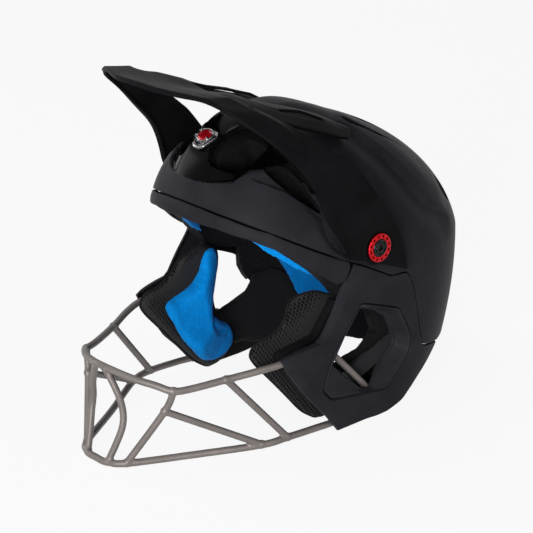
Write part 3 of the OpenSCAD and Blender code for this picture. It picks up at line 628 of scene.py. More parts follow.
EAR_RIM = [(-46, 61.5), (-39.5, 71.5), (-33, 81.4), (-27, 90.4), (-21, 98), (-15.6, 103), (-4, 98.5),
           (6.8, 93.4), (21.7, 81.8), (29.6, 64.3), (31.5, 55.3), (22.5, 45.3), (6, 35), (-2.5, 27),
           (-12, 28), (-29, 45)]
EAR_BORDER = [(-60.5, 45), (-55, 59), (-48.5, 74), (-38, 87), (-28, 99), (-18.5, 111), (3, 102.5),
              (14, 98), (25.5, 93), (41.5, 62), (39.5, 49), (31, 40), (22, 30.5), (13.5, 22),
              (-18, 27.5), (-50.5, 33)]
EAR_MIDDLE = np.array((-10.0, 66))
VENTS = [
    [(15, -96, 229), (14, -80, 242), (20, -58, 250), (43, -56, 242), (42, -76, 235), (37, -92, 226)],
    [(51, -74, 229), (59, -55, 232), (75, -49, 218), (84, -46, 206), (92, -43, 190), (76, -60, 208)],
    [(40, 34, 238), (28, 36, 243), (43, 52, 229), (51, 89, 207), (49, 62, 224)],
    [(56, 113, 176), (58, 124, 160), (64, 123, 153), (68, 108, 166)],
    [(14, 60, 238), (22, 62, 236), (26, 84, 226), (17, 84, 228)],
]


def vent_cutters(grow, lips, vents=VENTS):
    """Cutters whose rims flare at the shell's face, as [depth, growth] pairs down the wall."""
    solids = []
    for vent in vents:
        points = np.asarray(vent, float)
        around = unit(points - points.mean(0))
        points = on_shell(points + around * 1.2)
        outline = on_shell(evenly(rounded_outline(points, 0.2), 56, closed=True))
        middle = outline.mean(0)
        axis = unit(middle - HEAD_MIDDLE)
        spread = outline - middle
        spread = unit(spread - (spread @ axis)[:, None] * axis)
        down = unit(outline - HEAD_MIDDLE)
        rings = np.array([outline - down * depth + spread * (widen + grow) for depth, widen in lips])
        for side in (1, -1):
            solids.append(loft(rings * (side, 1, 1)))
    return solids


# ---- shells and liners ----

def edge_step(azimuth, height_at, inset, low=0.3):
    """The step at which each meridian meets an edge line, by halving."""
    low, high = np.full(len(azimuth), low), np.full(len(azimuth), 1.99)
    for _ in range(34):
        step = (low + high) / 2
        p = shell_at(azimuth, step, inset)
        above = p[:, 2] > height_at(azimuth, p)
        low, high = np.where(above, step, low), np.where(above, high, step)
    return (low + high) / 2


def azimuth_row(count=300):
    """Azimuths all the way round, closer together where the plan curve is tight."""
    base = np.linspace(-90, 270, count, endpoint=False)
    return base - 6 * np.sin(np.radians(2 * (base + 90)))


def shell_height(azimuth, p):
    """Height of the upper shell's edge, which follows the brow band at the front."""
    around = np.where(azimuth > 90, 180 - azimuth, azimuth)
    band = lookup(around, BAND_TOP) + 0.15
    band = np.where(around < -9, band, 0)
    return np.maximum(lookup(p[:, 1], SHELL_EDGE) + 0.3, band)


ARM_SINK, BROW_SINK, CLAMP_ROOM = 3.2, 2.8, 13.6
SHELL_RUN, EDGE_RADIUS, FIRST_STEP = 200, 1.1, 0.012
ARM_EDGE = [(140, -28), (151, -31.5), (199, -38.5), (208, -60), (219.5, -79), (226, -92)]


def arm_recess(p):
    """The shell drops into a recess under the front edges of the visor's arms."""
    y, z = p[..., 1], p[..., 2]
    depth = ARM_SINK * ease((y - lookup(z, ARM_EDGE)) / 3.5) * ease((z - 138) / 8) * ease((232 - z) / 8)
    return inward(p, depth * ease((12 - y) / 14) * ease((np.abs(p[..., 0]) - 50) / 8))


BROW_CURVE = [(0, 217), (18, 217.5), (27.6, 218.2), (40.8, 219.7), (44.1, 224), (48, 227.3), (54.4, 227.1),
              (62, 221.6), (73, 212.5), (81.6, 204.8), (93, 187), (104.5, 154.4)]
GLOSS_BACK = [(140, -20), (162, -8), (184, -21), (204, -29), (226, -38), (240, -50), (256, -62)]


def above_brow(p):
    """Height above the curve where the matte brow ends, and distance ahead of the arms."""
    return (p[..., 2] - lookup(np.abs(p[..., 0]), BROW_CURVE),
            lookup(p[..., 2], GLOSS_BACK) - p[..., 1])


def forehead_recess(p):
    """A ledge along the brow, from which the glossy forehead rises back to the form."""
    high, ahead = above_brow(p)
    depth = BROW_SINK * ease((np.abs(p[..., 0]) - 12) / 22) * ease(high / 2.2) * ease((24 - high) / 16)
    return inward(p, depth * ease(ahead / 6) * ease((-24 - p[..., 1]) / 8))


def mirrored_both(p, move):
    """Applies a move made for the left side to both sides."""
    flip = np.where(p[..., :1] < 0, (-1.0, 1.0, 1.0), (1.0, 1.0, 1.0))
    return move(p * flip) * flip


SHOULDER = [(36, 22, 243), (40, 28.5, 239), (58, 39.5, 225), (76, 57, 202), (86, 70.5, 180),
            (87, 82.5, 166), (78, 111.5, 147)]


def shell_forms(p):
    """The upper shell's ridges and steps, with the deeper of the two recesses at the front."""
    p = crest(p, SHOULDER, height=1.8, width=4)
    p = ledge(p, SHOULDER, depth=4.4, width=2.6, fade=30)
    sunk, stepped = arm_recess(p), forehead_recess(p)
    deeper = np.linalg.norm(sunk - HEAD_MIDDLE, axis=-1) < np.linalg.norm(stepped - HEAD_MIDDLE, axis=-1)
    return np.where(deeper[..., None], sunk, stepped)


def rolled(share, length, radius):
    """Inset of a face that rolls in over its last few millimetres."""
    left = np.clip((1 - share) * length, 0, radius)
    return radius - np.sqrt(np.maximum(0, radius ** 2 - (radius - left) ** 2))


def shell_sheet(azimuth, ends, rows=120):
    """Azimuths, steps and shares from the crown to the ends, with rows close at the edge."""
    share = np.concatenate([np.linspace(0, 1 - 2.2 / SHELL_RUN, rows),
                            1 - np.array((1.5, 1, 0.6, 0.3, 0.12, 0)) / SHELL_RUN])[:, None]
    steps = FIRST_STEP + (ends - FIRST_STEP) * share
    return np.broadcast_to(azimuth, steps.shape), steps, share


def faces_given(piece, finish, chosen):
    """Gives a second finish to the faces whose middles, in drawing millimetres, are chosen."""
    piece.data.materials.append(finish)
    middles = read(piece.data.polygons, "center") / MM - (0, SECTION_Y, 0)
    picked = chosen(middles).astype(np.int32) * (len(piece.data.materials) - 1)
    piece.data.polygons.foreach_set("material_index", picked)


def make_upper_shell(finish, glossy):
    azimuth = azimuth_row()
    a, s, share = shell_sheet(azimuth, edge_step(azimuth, shell_height, all_round(0)))
    outer = mirrored_both(raised(shell_at(a, s)), shell_forms)
    outer = inward(outer, rolled(share, SHELL_RUN, EDGE_RADIUS))
    inner = mirrored_both(raised(shell_at(a, s, all_round(WALL))), shell_forms)
    piece = new_object("upper_shell_skin", slab(outer, inner, wrap=True), finish)
    lips = [(-9, 4.0), (-2.5, 3.4), (-0.6, 2.4), (0.3, 1.5), (1.2, 0.8), (2.4, 0.3), (4, 0), (16, -2.5)]
    cut(piece, vent_cutters(0, lips))

    def on_front(p):
        high, ahead = above_brow(p)
        return (high > 0.4) & (ahead > 0) & (p[:, 1] < -24)

    faces_given(piece, glossy, on_front)
    return declared(piece, "shell_matte", ["upper_shell"], angle=42)


def liner_forms(p):
    """Foam drawn in behind the cheeks, where the cage's ends and the clamps are."""
    depth = CLAMP_ROOM * ease((50 - p[..., 1]) / 7) * ease((124 - p[..., 2]) / 9)
    return p - (np.sign(p[..., 0]) * np.minimum(np.abs(p[..., 0]), depth))[..., None] * (1, 0, 0)


LINER_GAP, LINER_LOWEST, NAPE_TOP = 4.2, 104.4, 1.206


def make_crown_liner(finish):
    azimuth = azimuth_row(220)

    def sheet(inset):
        ends = edge_step(azimuth, lambda _, p: np.maximum(lookup(p[:, 1], LINER_EDGE), LINER_LOWEST), inset)
        a, s, _ = shell_sheet(azimuth, ends, rows=70)
        return shell_at(a, s, inset)

    outer = liner_forms(sheet(all_round(WALL + LINER_GAP)))
    piece = new_object("crown_foam", slab(outer, sheet(HEAD), wrap=True), finish)
    lips = [(-6, 1.5), (3, 1.2), (5, 0.5), (8, 0)]
    cut(piece, vent_cutters(-1.5, lips + [(32, -4), (60, -10)], VENTS[:1] + VENTS[2:]))
    cut(piece, vent_cutters(-1.5, lips + [(13, -1.5)], VENTS[1:2]))
    return declared(piece, "liner_foam", ["crown_liner"], angle=42)


def make_nape_liner(finish):
    azimuth = np.linspace(2, 178, 120)

    def sheet(inset):
        ends = edge_step(azimuth, lambda _, p: lookup(p[:, 1], LINER_EDGE), inset, low=1.2)
        return shell_at(azimuth[None], mix(NAPE_TOP, ends, np.linspace(0, 1, 30)[:, None]), inset)

    outer = liner_forms(sheet(all_round(WALL + 1)))
    return part("nape_foam", slab(outer, sheet(HEAD)), finish, "liner_foam", ["nape_liner"], edge=1.2)


BAND_HEIGHT, BAND_RADIUS, BAND_BULGE = 22, 1.0, 0.4


def make_brow_band(finish):
    sweep = np.linspace(-90, -9.5, 130)
    around = np.concatenate([sweep[::-1], -180 - sweep[1:]])
    share = np.concatenate([[0, 0.004, 0.012, 0.025, 0.045], np.linspace(0.07, 0.93, 22),
                            [0.955, 0.975, 0.988, 0.996, 1]])[:, None]
    near = np.where(around < -90, -180 - around, around)[None]
    z = mix(lookup(near, BAND_TOP), lookup(near, BAND_LOW), share)
    c = np.clip((z - WIDEST) / (CROWN - WIDEST), 0, 1)
    p = shell_at(around[None], np.where(z > WIDEST, np.arccos(c) * 2 / math.pi, 1 + low_share(z)))
    bulge = BAND_BULGE * np.sin(np.pi * share) * ease((-9 - near) / 25)
    roll = sum(rolled(end, BAND_HEIGHT, BAND_RADIUS) for end in (share, 1 - share))
    return part("brow_rim", slab(inward(p, roll - bulge), inward(p, WALL - bulge)), finish,
                "shell_matte", ["brow_band"])


def at_side(x, y, z):
    return np.stack(np.broadcast_arrays(x, y, z), -1)


CHEEK_TOP = 146
CHEEK_CRESTS = (
    ([(88, 86, 37), (97, 58, 52), (100, 42, 75.5), (101.5, 31.5, 65), (103, 23, 40), (103.5, 11.5, 20),
      (103, 0, 4)], -0.1, 4),
    ([(98, -72, 41), (101, -50, 18), (102, -36, 3)], 1.0, 4),
    ([(92, 84, 44), (103.5, 46, 63), (104, 31.5, 42), (103, 12, 17.5), (102, -14, 4)], 0.9, 3.5))


def edge_roll(away):
    """Inset of a face at a distance from an edge that it rolls in to."""
    away = np.clip(away, 0, EDGE_RADIUS)
    return EDGE_RADIUS - np.sqrt(EDGE_RADIUS ** 2 - (EDGE_RADIUS - away) ** 2)


def make_cheek_shell(finish):
    z = np.concatenate([[0, 0.12, 0.35, 0.7, 1.1], np.linspace(2, 144, 100),
                        [144.8, 145.4, 145.8, CHEEK_TOP]])
    front, rear = lookup(z, CHEEK_FRONT) + 0.3, lookup(z, CHEEK_REAR) - 0.3
    rear = np.maximum(front + 1, rear)
    wide = np.array([0, 0.12, 0.35, 0.7, 1.1, 2, 4, 6, 7, 8])
    y = np.empty((len(z), 96))
    for row, (y0, y1) in enumerate(zip(front, rear)):
        lead = np.minimum(wide, (y1 - y0) * 0.4 * wide / 8)
        y[row, :10] = y0 + lead
        y[row, -10:] = y1 - lead[::-1]
        y[row, 9:-9] = np.linspace(y0 + lead[-1], y1 - lead[-1], 78)
    z = np.broadcast_to(z[:, None], y.shape)
    ahead, behind = y - front[:, None], rear[:, None] - y
    bevel = 0.42 * np.clip(6.5 - ahead, 0, 6.5) * ease((z - 30) / 25) * ease((140 - z) / 12)
    inset = bevel + edge_roll(ahead) + edge_roll(behind) + edge_roll(z) + edge_roll(CHEEK_TOP - z)
    outer = at_side(side_x(y, z), y, z)
    for path, height, width in CHEEK_CRESTS:
        outer = crest(outer, path, height, width)
    outer = outer - inset[..., None] * (1, 0, 0)
    inner = at_side(side_x(y, z, WALL) - bevel, y, z)
    piece = new_object("cheek_skin_left", slab(outer, inner), finish)
    border = evenly(rounded_outline(EAR_BORDER, 0.13), 120, closed=True)
    away, face = unit(border - EAR_MIDDLE), side_x(*border.T)
    lips = ((-9, 2.6), (-1.5, 2.4), (0.0, 1.5), (0.5, 0.9), (1.2, 0.5), (2, 0.35), (14, 0.3))
    cut(piece, [loft([at_side(face - depth, *(border + away * widen).T) for depth, widen in lips])])
    return declared(piece, "shell_matte", ["cheek_shell_left"], angle=40)


def make_ear_bezel(finish):
    border = evenly(rounded_outline(EAR_BORDER, 0.1), 144, closed=True)
    rim = evenly(rounded_outline(EAR_RIM, 0.12), 144, closed=True)
    start = np.argmin(np.linalg.norm(rim - mix(border[0], EAR_MIDDLE, 0.25), axis=1))
    rim = np.roll(rim, -start, 0)
    k = np.concatenate([[0, 0.02, 0.05, 0.1], np.linspace(0.18, 0.86, 12), [0.92, 0.96, 0.985, 1]])[:, None]
    p = mix(mix(border, EAR_MIDDLE, 0.008), rim, k[..., None])
    y, z = p[..., 0], p[..., 1]
    deep = mix(3, mix(5, 13, ease((y + 40) / 60)), ease((z - 24) / 22)) * ease(k * 1.2)
    deep = deep + 1.6 * ease((k - 0.9) / 0.1) + 0.5 * ease((0.04 - k) / 0.04)
    outer = at_side(side_x(y, z) - deep, y, z)
    inner = outer - mix(2, 3.4, ease((k - 0.9) / 0.1))[..., None] * (1, 0, 0)
    return part("ear_surround_left", loft(np.concatenate([outer, inner[::-1]]), closed=True), finish,
                "bezel_black", ["ear_bezel_left"], angle=28)


CHEEK_FOAM_OUTSIDE = [(-33, 113), (-38, 106), (-46, 97), (-56, 86), (-82, 82), (-91, 78), (-87, 66),
                      (-70, 46), (-54, 26), (-38, 6), (-10, 3), (12, 4), (30, 8), (44, 18), (49, 29)]
CHEEK_FOAM_INSIDE = [(-27, 108.5), (-31, 104), (-37, 98), (-44, 91), (-52, 84), (-57, 77), (-60, 69),
                     (-61, 60), (-56, 44), (-38, 27), (-16, 20), (6, 19), (20, 22), (30, 29), (36, 36)]


def make_cheek_liner(finish):
    p = mix(curve(CHEEK_FOAM_OUTSIDE), curve(CHEEK_FOAM_INSIDE), np.linspace(0, 1, 14)[:, None, None])
    y, z = p[..., 0], p[..., 1]
    room = mix(mix(13, 16.8, ease((z - 16) / 40)), WALL + 0.7, ease((y - 16) / 10))
    outer, inner = at_side(rod_room_x(y, z, room), y, z), at_side(cheek_seat(y, z) + 0.3, y, z)
    return part("cheek_foam_left", slab(outer, inner), finish, "liner_foam", ["cheek_liner_left"], edge=1.2)


def rod_room_x(y, z, room):
    """Shell's half width measured in by a depth that varies from point to point."""
    levels = np.linspace(0, 20, 41)
    table = np.stack([side_x(y, z, float(d)) for d in levels])
    at = np.clip(room / 0.5, 0, 39.999)
    low = at.astype(int)
    first = np.take_along_axis(table, low[None], 0)[0]
    second = np.take_along_axis(table, low[None] + 1, 0)[0]
    return mix(first, second, at - low)


def cheek_seat(y, z):
    return side_x(np.maximum(y, -62), z, HEAD) - 0.06 * np.maximum(0, -62 - y) - 0.3


# ---- pads ----

MESH_OUTLINE = [(-20, 110), (-31, 117), (-42, 122), (-56, 121), (-68, 116), (-74, 107), (-82, 99),
                (-92, 95), (-104, 93), (-112, 89), (-114, 83), (-108.2, 73.5), (-96.8, 60), (-78.6, 38),
                (-60.2, 14.6), (-46, 4), (-41, 2.2), (-28, 3.5), (-15, 14), (-13, 30), (-16, 43), (-28, 52),
                (-30, 64), (-26, 80), (-21, 95)]
MESH_MIDDLE = np.array((-62.0, 66))
PAD_OUTLINE = [(-93, 80), (-76, 85), (-63, 90), (-56, 94), (-50, 101), (-46, 112), (-42, 118), (-35, 119),
               (-30, 114), (-28.5, 104), (-33, 90), (-38, 78), (-42, 68), (-43, 60), (-33, 49), (-22, 40),
               (-18, 31), (-20, 20), (-30, 13), (-43, 11), (-56, 16), (-65, 27), (-77, 43), (-87, 64)]


def path_distance(points, path):
    """Distance of points from a path."""
    best = np.full(len(points), 1e9)
    for a, b in zip(path, path[1:]):
        way = b - a
        t = np.clip(((points - a) @ way) / (way @ way), 0, 1)
        best = np.minimum(best, np.linalg.norm(points - a - t[:, None] * way, axis=1))
    return best


def edge_distance(points, outline):
    """Distance of flat points from a closed outline."""
    return path_distance(points, np.concatenate([outline, outline[:1]]))


def pad_block(name, outline, thick, seat, finish, shoulder=9, voxel=2.6, lean=0.3, ridge=None):
    """A pad with rounded shoulders from its side outline, lying on a seat."""
    outline = evenly(rounded_outline(outline, 0.2), 150, closed=True)
    rings = [np.c_[np.full(150, d), outline] for d in np.linspace(0, thick, 5)]
    piece = remeshed(new_object(name, loft(rings), finish), voxel, 5)
    flat = mesh_points(piece) / MM - (0, SECTION_Y, 0)
    rise = np.minimum(1, edge_distance(flat[:, 1:], outline) / shoulder)
    crown = lean + (1 - lean) * np.sqrt(1 - (1 - rise) ** 2)
    if ridge is not None:
        line, height, width = ridge
        near = np.maximum(0, 1 - path_distance(flat[:, 1:], line) / width)
        crown = crown * (1 + height * near - height / 2)
    flat[:, 0] = seat(flat[:, 1], flat[:, 2]) - np.clip(flat[:, 0], 0, thick) * crown
    move_points(piece, (flat + (0, SECTION_Y, 0)) * MM)
    piece.data.flip_normals()
    return piece


AIR_PRESSURE, AIR_FRAMES = 4.0, 20


def puffed(piece, cap, keep_off, levels=1):
    """Swells a pad with air, keeps it off its seat, and smooths it."""
    start = mesh_points(piece)
    scene = bpy.context.scene
    scene.frame_set(1)
    air = piece.modifiers.new("air", "CLOTH")
    for key, value in dict(quality=5, mass=0.3, use_pressure=True,
                           uniform_pressure_force=AIR_PRESSURE).items():
        setattr(air.settings, key, value)
    air.settings.effector_weights.gravity = 0
    air.point_cache.frame_start, air.point_cache.frame_end = 1, AIR_FRAMES
    for frame_number in range(1, AIR_FRAMES + 1):
        scene.frame_set(frame_number)
    moves = read(evaluated(piece).data.vertices, "co") - start
    piece.modifiers.clear()
    scene.frame_set(1)
    away = keep_off(start)
    moves -= away * np.maximum(0, np.sum(moves * away, 1))[:, None]
    size = np.linalg.norm(moves, axis=1, keepdims=True)
    moves *= np.minimum(1, cap * MM / np.maximum(size, 1e-9))
    move_points(piece, start + moves)
    modified(piece, "SMOOTH", factor=0.4, iterations=2)
    return modified(piece, "SUBSURF", levels=levels)


def sideways(points):
    return np.broadcast_to((1.0, 0, 0), points.shape)


def outwards(points):
    return unit(points - (HEAD_MIDDLE + (0, SECTION_Y, 0)) * MM)


def pressed(piece, path, depth, width):
    """A sewn channel along a path drawn in millimetres."""
    path = curve(path, 6) + (0, SECTION_Y, 0)
    points = mesh_points(piece) / MM
    fall = (1 - np.clip(path_distance(points, path) / width, 0, 1) ** 2) ** 2
    normals = read(piece.data.vertices, "normal")
    move_points(piece, (points - normals * (depth * fall)[:, None]) * MM)


PIPING_INSET, PIPING_WIDE, PIPING_HIGH = 0.97, 1.6, 2.2
PAD_FOLD = np.array([(-54, 92), (-54, 83), (-52, 62), (-50, 47), (-58, 39), (-66, 30)], float)
PAD_CHANNELS = (([(-40, 74), (-45, 62), (-47, 50), (-40, 42), (-30, 40)], 2.0, 6),
                ([(-47, 50), (-58, 38), (-66, 29)], 1.2, 4))


def make_cheek_pad(finish):
    """The blue pad, with its fold and its sewn channels."""
    piece = pad_block("cheek_cushion_left", PAD_OUTLINE, 11.5, lambda y, z: cheek_seat(y, z) - 9.6,
                      finish, shoulder=6, voxel=2.2, lean=0.4, ridge=(PAD_FOLD, 0.8, 25))
    puffed(piece, 2.0, sideways)
    for line, depth, width in PAD_CHANNELS:
        y, z = np.array(line, float).T
        pressed(piece, at_side(cheek_seat(y, z) - 22, y, z), depth, width)
    return declared(piece, "pad_blue", ["cheek_pad_left"], angle=80, fill=0.6)


def make_mesh_pad(finish, binding):
    """The mesh pad and the piping sewn round it."""
    piece = pad_block("mesh_cushion_left", MESH_OUTLINE, 8.4, cheek_seat, finish, shoulder=7, voxel=2.8)
    puffed(piece, 1.2, sideways)
    declared(piece, "pad_mesh", ["mesh_pad_left"], angle=80, fill=0.45)
    outline = evenly(rounded_outline(MESH_OUTLINE, 0.2), 200, closed=True)
    y, z = mix(MESH_MIDDLE, outline, PIPING_INSET).T
    cord = swept(at_side(cheek_seat(y, z) - 3.4, y, z), PIPING_WIDE, PIPING_HIGH, ref=(1, 0, 0), sides=12,
                 closed=True)
    return piece, part("mesh_binding_left", cord, binding, "lining_black")


def head_grid(place, thick, cols, rows, flatness):
    """A head pad's face on the liner and its face to the head."""
    u, v = np.linspace(0, 1, cols)[None, :], np.linspace(0, 1, rows)[:, None]
    azimuth, step = np.broadcast_arrays(*place(u, v))
    crown = np.sqrt(np.maximum(0, (1 - np.abs(2 * u - 1) ** 3) * (1 - np.abs(2 * v - 1) ** 3)))
    seat, off = (shell_at(azimuth, step, tuple(h + d for h in HEAD)) for d in (1, 2))
    return seat, seat + unit(off - seat) * (thick * (flatness + (1 - flatness) * crown))[..., None]


def brow_place(u, v):
    """Azimuth and step of the brow pad's points, across and down it from 0 to 1."""
    a = np.abs(2 * u - 1) * 66
    top = lookup(a, [(0, 0.41), (30, 0.44), (45, 0.55), (66, 0.74)])
    low = lookup(a, [(0, 0.69), (30, 0.725), (45, 0.84), (66, 1.01)])
    return -156 + 132 * u, mix(top, low, v)


def crown_place(u, v):
    return 200 + 140 * u, 0.17 + 0.19 * v


def rear_place(u, v):
    s = mix(0.54, 1.72, v)
    e = lookup(s, [(0.55, 28), (0.8, 13), (1.17, 7), (1.43, 21), (1.72, 33)])
    return mix(e, 180 - e, u), s


def nape_place(u, v):
    a = 90 - np.abs(2 * u - 1) * 93.5
    top = lookup(a, [(-3.5, 49), (0, 56), (4, 64), (7, 73), (18, 74), (23, 70), (36, 40), (90, 37)])
    low = lookup(a, [(-3.5, 17), (5, 10), (20, 5), (60, 5), (90, 8)])
    return np.where(u < 0.5, a, 180 - a), 2 - mix(top, low, v) / WIDEST


SEAM_DEPTH, SEAM_WIDTH = 2.6, 5


def make_head_pad(name, node, place, thick, cols, rows, finish, slot, cap, fill, seams=(),
                  flatness=0.55):
    """A pad on the liner, with sewn channels along seams of azimuths and steps."""
    piece = new_object(name, slab(*head_grid(place, thick, cols, rows, flatness)), finish)
    remeshed(piece, min(2.8, 0.45 * thick), 3)
    puffed(piece, cap, outwards, levels=1 if thick > 4 else 0)
    for azimuths, steps in seams:
        inset = tuple(h + 1 + thick for h in HEAD)
        path = shell_at(np.array(azimuths, float), np.array(steps, float), inset)
        pressed(piece, path, SEAM_DEPTH, SEAM_WIDTH)
    return declared(piece, slot, [node], angle=80, fill=fill)


# ---- visor ----

FRONT_LINE = [(0, -157.5, 312), (22, -155, 310.5), (36, -150, 309), (50, -144, 307.5), (66, -137, 305.5),
              (84, -127.5, 297), (91.5, -115, 284), (97, -101.5, 271), (100, -90, 258), (101.5, -78, 244),
              (103.5, -66, 228), (107, -57, 205), (110, -51, 188), (110.5, -39, 170), (110.5, -30.5, 153.5)]
MID_LINE = [(0, -120, 299), (22, -119, 300), (35, -118, 300.5), (49, -116, 301), (65, -112, 300.5),
            (80, -98, 289), (88, -82, 277), (94, -72, 264), (98, -60, 251), (101.5, -50, 239),
            (104.5, -38, 226), (108.5, -29, 204), (110.5, -21, 184), (111, -8, 162), (111, -12, 147)]
REAR_LINE = [(0, -82, 285), (21, -84, 289), (33, -88, 292), (47, -94, 294), (64, -97, 289.5),
             (73, -98, 292), (84, -77, 277), (91, -62, 266), (97, -47, 253), (104, -33, 242),
             (108.5, -21, 230), (110.5, -3, 206), (111, 14, 180), (111, 26, 156), (111, 31, 128)]
PRONG_LINES = [
    [(30, -70, 283), (44, -72, 284), (55, -71, 280), (67, -72, 273)],
    [(33, -52, 276), (51, -52, 274), (54, -52, 272), (68, -55, 265.5)],
    [(37, -28, 267), (47.5, -26, 266), (55.5, -30, 263), (68.5, -38, 258)],
    [(41, -6, 258), (52, -8, 256.5), (56, -8, 254.5), (69, -18, 249.5)],
    [(46, 10, 248.5), (52, 8, 248), (58, 6, 246), (68.5, -2, 242.5)],
    [(52.5, 20, 242), (55.5, 19.5, 241.5), (60, 16.5, 240), (66.5, 10, 238)]]
ARM_X = 111.0


def clear_arm(line):
    """A line of the visor, kept clear of the shell where it runs down the arm."""
    p = np.array(line, float)
    room = side_x(p[:, 1], p[:, 2]) + 3.4
    low, middle = p[:, 2] < 165, (p[:, 2] >= 165) & (p[:, 2] < 200)
    p[:, 0] = np.where(low, ARM_X, np.where(middle, np.maximum(p[:, 0], room), p[:, 0]))
    return p


VISOR_ROWS, VISOR_THICK, VISOR_EDGE, LIP_DEPTH, LIP_REACH = 6, 2.4, 0.55, 4.2, 1.2
MID_BULGE = (1.0, 2.0, 2.6, 2.8, 2.8, 2.4, 1.6, 0.6)


def visor_cage():
    """Half of the visor's control points and faces, and the number of its columns."""
    front, mid, rear = (clear_arm(line) for line in (FRONT_LINE, MID_LINE, REAR_LINE))
    mid[5:13, 0] += MID_BULGE
    rows = [front, mix(front, mid, 0.5), mid, mix(mid, rear, 0.5), rear]
    down = np.cross(rows[1] - front, np.gradient(front, axis=0))
    down = unit(down) * np.where(down[:, 2:] > 0, -1, 1)
    down[:, 0] = np.where(front[:, 2] < 240, -np.abs(down[:, 0]), down[:, 0])
    lip = front + unit(down) * LIP_DEPTH + unit(rows[1] - front) * LIP_REACH
    lip[0, 0] = 0
    points, faces, cols = [*lip, *np.concatenate(rows)], [], len(front)
    for i in range(VISOR_ROWS - 1):
        for a in range(i * cols, (i + 1) * cols - 1):
            faces.append((a, a + 1, a + cols + 1, a + cols))
    last = [(VISOR_ROWS - 1) * cols + c for c in (1, 2, 3, 4)]
    for k, row in enumerate(PRONG_LINES):
        here = list(range(len(points), len(points) + 4))
        points += [np.array(p, float) for p in row]
        for c in range(3):
            if not (c == 1 and k in (2, 3)):
                faces.append((last[c], last[c + 1], here[c + 1], here[c]))
        last = here
    return np.array(points), faces, cols


COLUMN_CREASES = {1: 0.7, 3: 0.85, 4: 0.9, 5: 0.95}


def visor_crease(i, j, cols):
    """The crease of an edge between two control points of the cage, i before j."""
    (row, col), (next_row, next_col) = divmod(i, cols), divmod(j, cols)
    if i >= 0 and j >= VISOR_ROWS * cols:
        return 0.7
    if i >= 0 and row == next_row and (row == 1 or row == 3 and col >= 4):
        return 0.9
    if i >= 0 and col == next_col and next_row > 1:
        return COLUMN_CREASES.get(col, 0.0)
    return 0.0


def make_visor(finish):
    """The hood, smoothed from its cage so that the surface passes through the cage's points."""
    points, faces, cols = visor_cage()
    faces += [tuple(i + len(points) for i in face)[::-1] for face in faces]
    piece = new_object("visor_hood", (np.concatenate([points, points * (-1, 1, 1)]), faces), finish)
    work = bmesh.new()
    work.from_mesh(piece.data)
    highest = max(work.faces, key=lambda f: f.calc_center_median().z)
    if highest.normal.z < 0:
        bmesh.ops.reverse_faces(work, faces=work.faces)
    crease = work.edges.layers.float.new("crease_edge")
    placed = (points + (0, SECTION_Y, 0)) * MM
    target = {tuple(np.round(p, 6)): i for i, p in enumerate(placed)}

    def where(vert):
        x, y, z = vert.co
        return target.get(tuple(np.round((abs(x), y, z), 6)), -1)

    for edge in work.edges:
        i, j = sorted(where(vert) for vert in edge.verts)
        edge[crease] = 0.75 if edge.is_boundary else visor_crease(i, j, cols)
    work.to_mesh(piece.data)
    work.free()
    wanted = mesh_points(piece)
    piece.modifiers.new("round", "SUBSURF").levels = 2
    for _ in range(4):
        now = read(evaluated(piece).data.vertices, "co")[:len(wanted)]
        move_points(piece, mesh_points(piece) + (wanted - now) * 0.8)
    settled(piece)
    modified(piece, "SOLIDIFY", thickness=VISOR_THICK * MM, offset=-1.0, use_even_offset=True)
    return declared(bevelled(piece, VISOR_EDGE, 52), "visor_matte", ["visor"], "visor", 40)


# ---- screws, rings and badge ----

PIVOT_Y, PIVOT_Z = -2, 157


def at_pivot(solid):
    """From a screw drawn along +Z to its place on the left arm."""
    p, faces = solid
    return np.stack([ARM_X + p[:, 2], PIVOT_Y + p[:, 1], PIVOT_Z - p[:, 0]], 1), faces


def polar(p):
    return np.arctan2(p[:, 1], p[:, 0]), np.hypot(p[:, 0], p[:, 1])


RING_PROFILE = [(7.45, 0.3), (11.6, 0.3), (12.2, 0.6), (12.4, 1.0), (12.4, 2.3), (12.2, 2.75), (11.8, 3.05),
                (11.3, 3.2), (8.4, 3.3), (7.9, 3.2), (7.6, 3.0), (7.45, 2.6)]
HUB_PROFILE = [(0.0, 1.6), (2.6, 1.6), (2.7, 2.9), (3.0, 3.3), (3.6, 3.5), (4.6, 3.45), (4.9, 3.0),
               (5.3, 2.9), (5.7, 3.0), (6.0, 3.6), (6.5, 3.85), (7.0, 3.7), (7.35, 3.2), (7.4, 0.4),
               (4.0, 0.35), (4.0, -1.2), (3.0, -1.3), (3.0, -12), (0.0, -12)]
HOLE_PROFILE = [(1.5, 5), (1.45, 3.6), (1.1, 3.05), (1.0, 2.6), (1.0, -1)]
HOLE_CIRCLE = 10
BOSS_PROFILE = [(12.9, -0.5), (12.9, 0.25), (13.2, 0.5), (13.8, 0.5), (14.8, 0.2), (15.2, -0.5)]


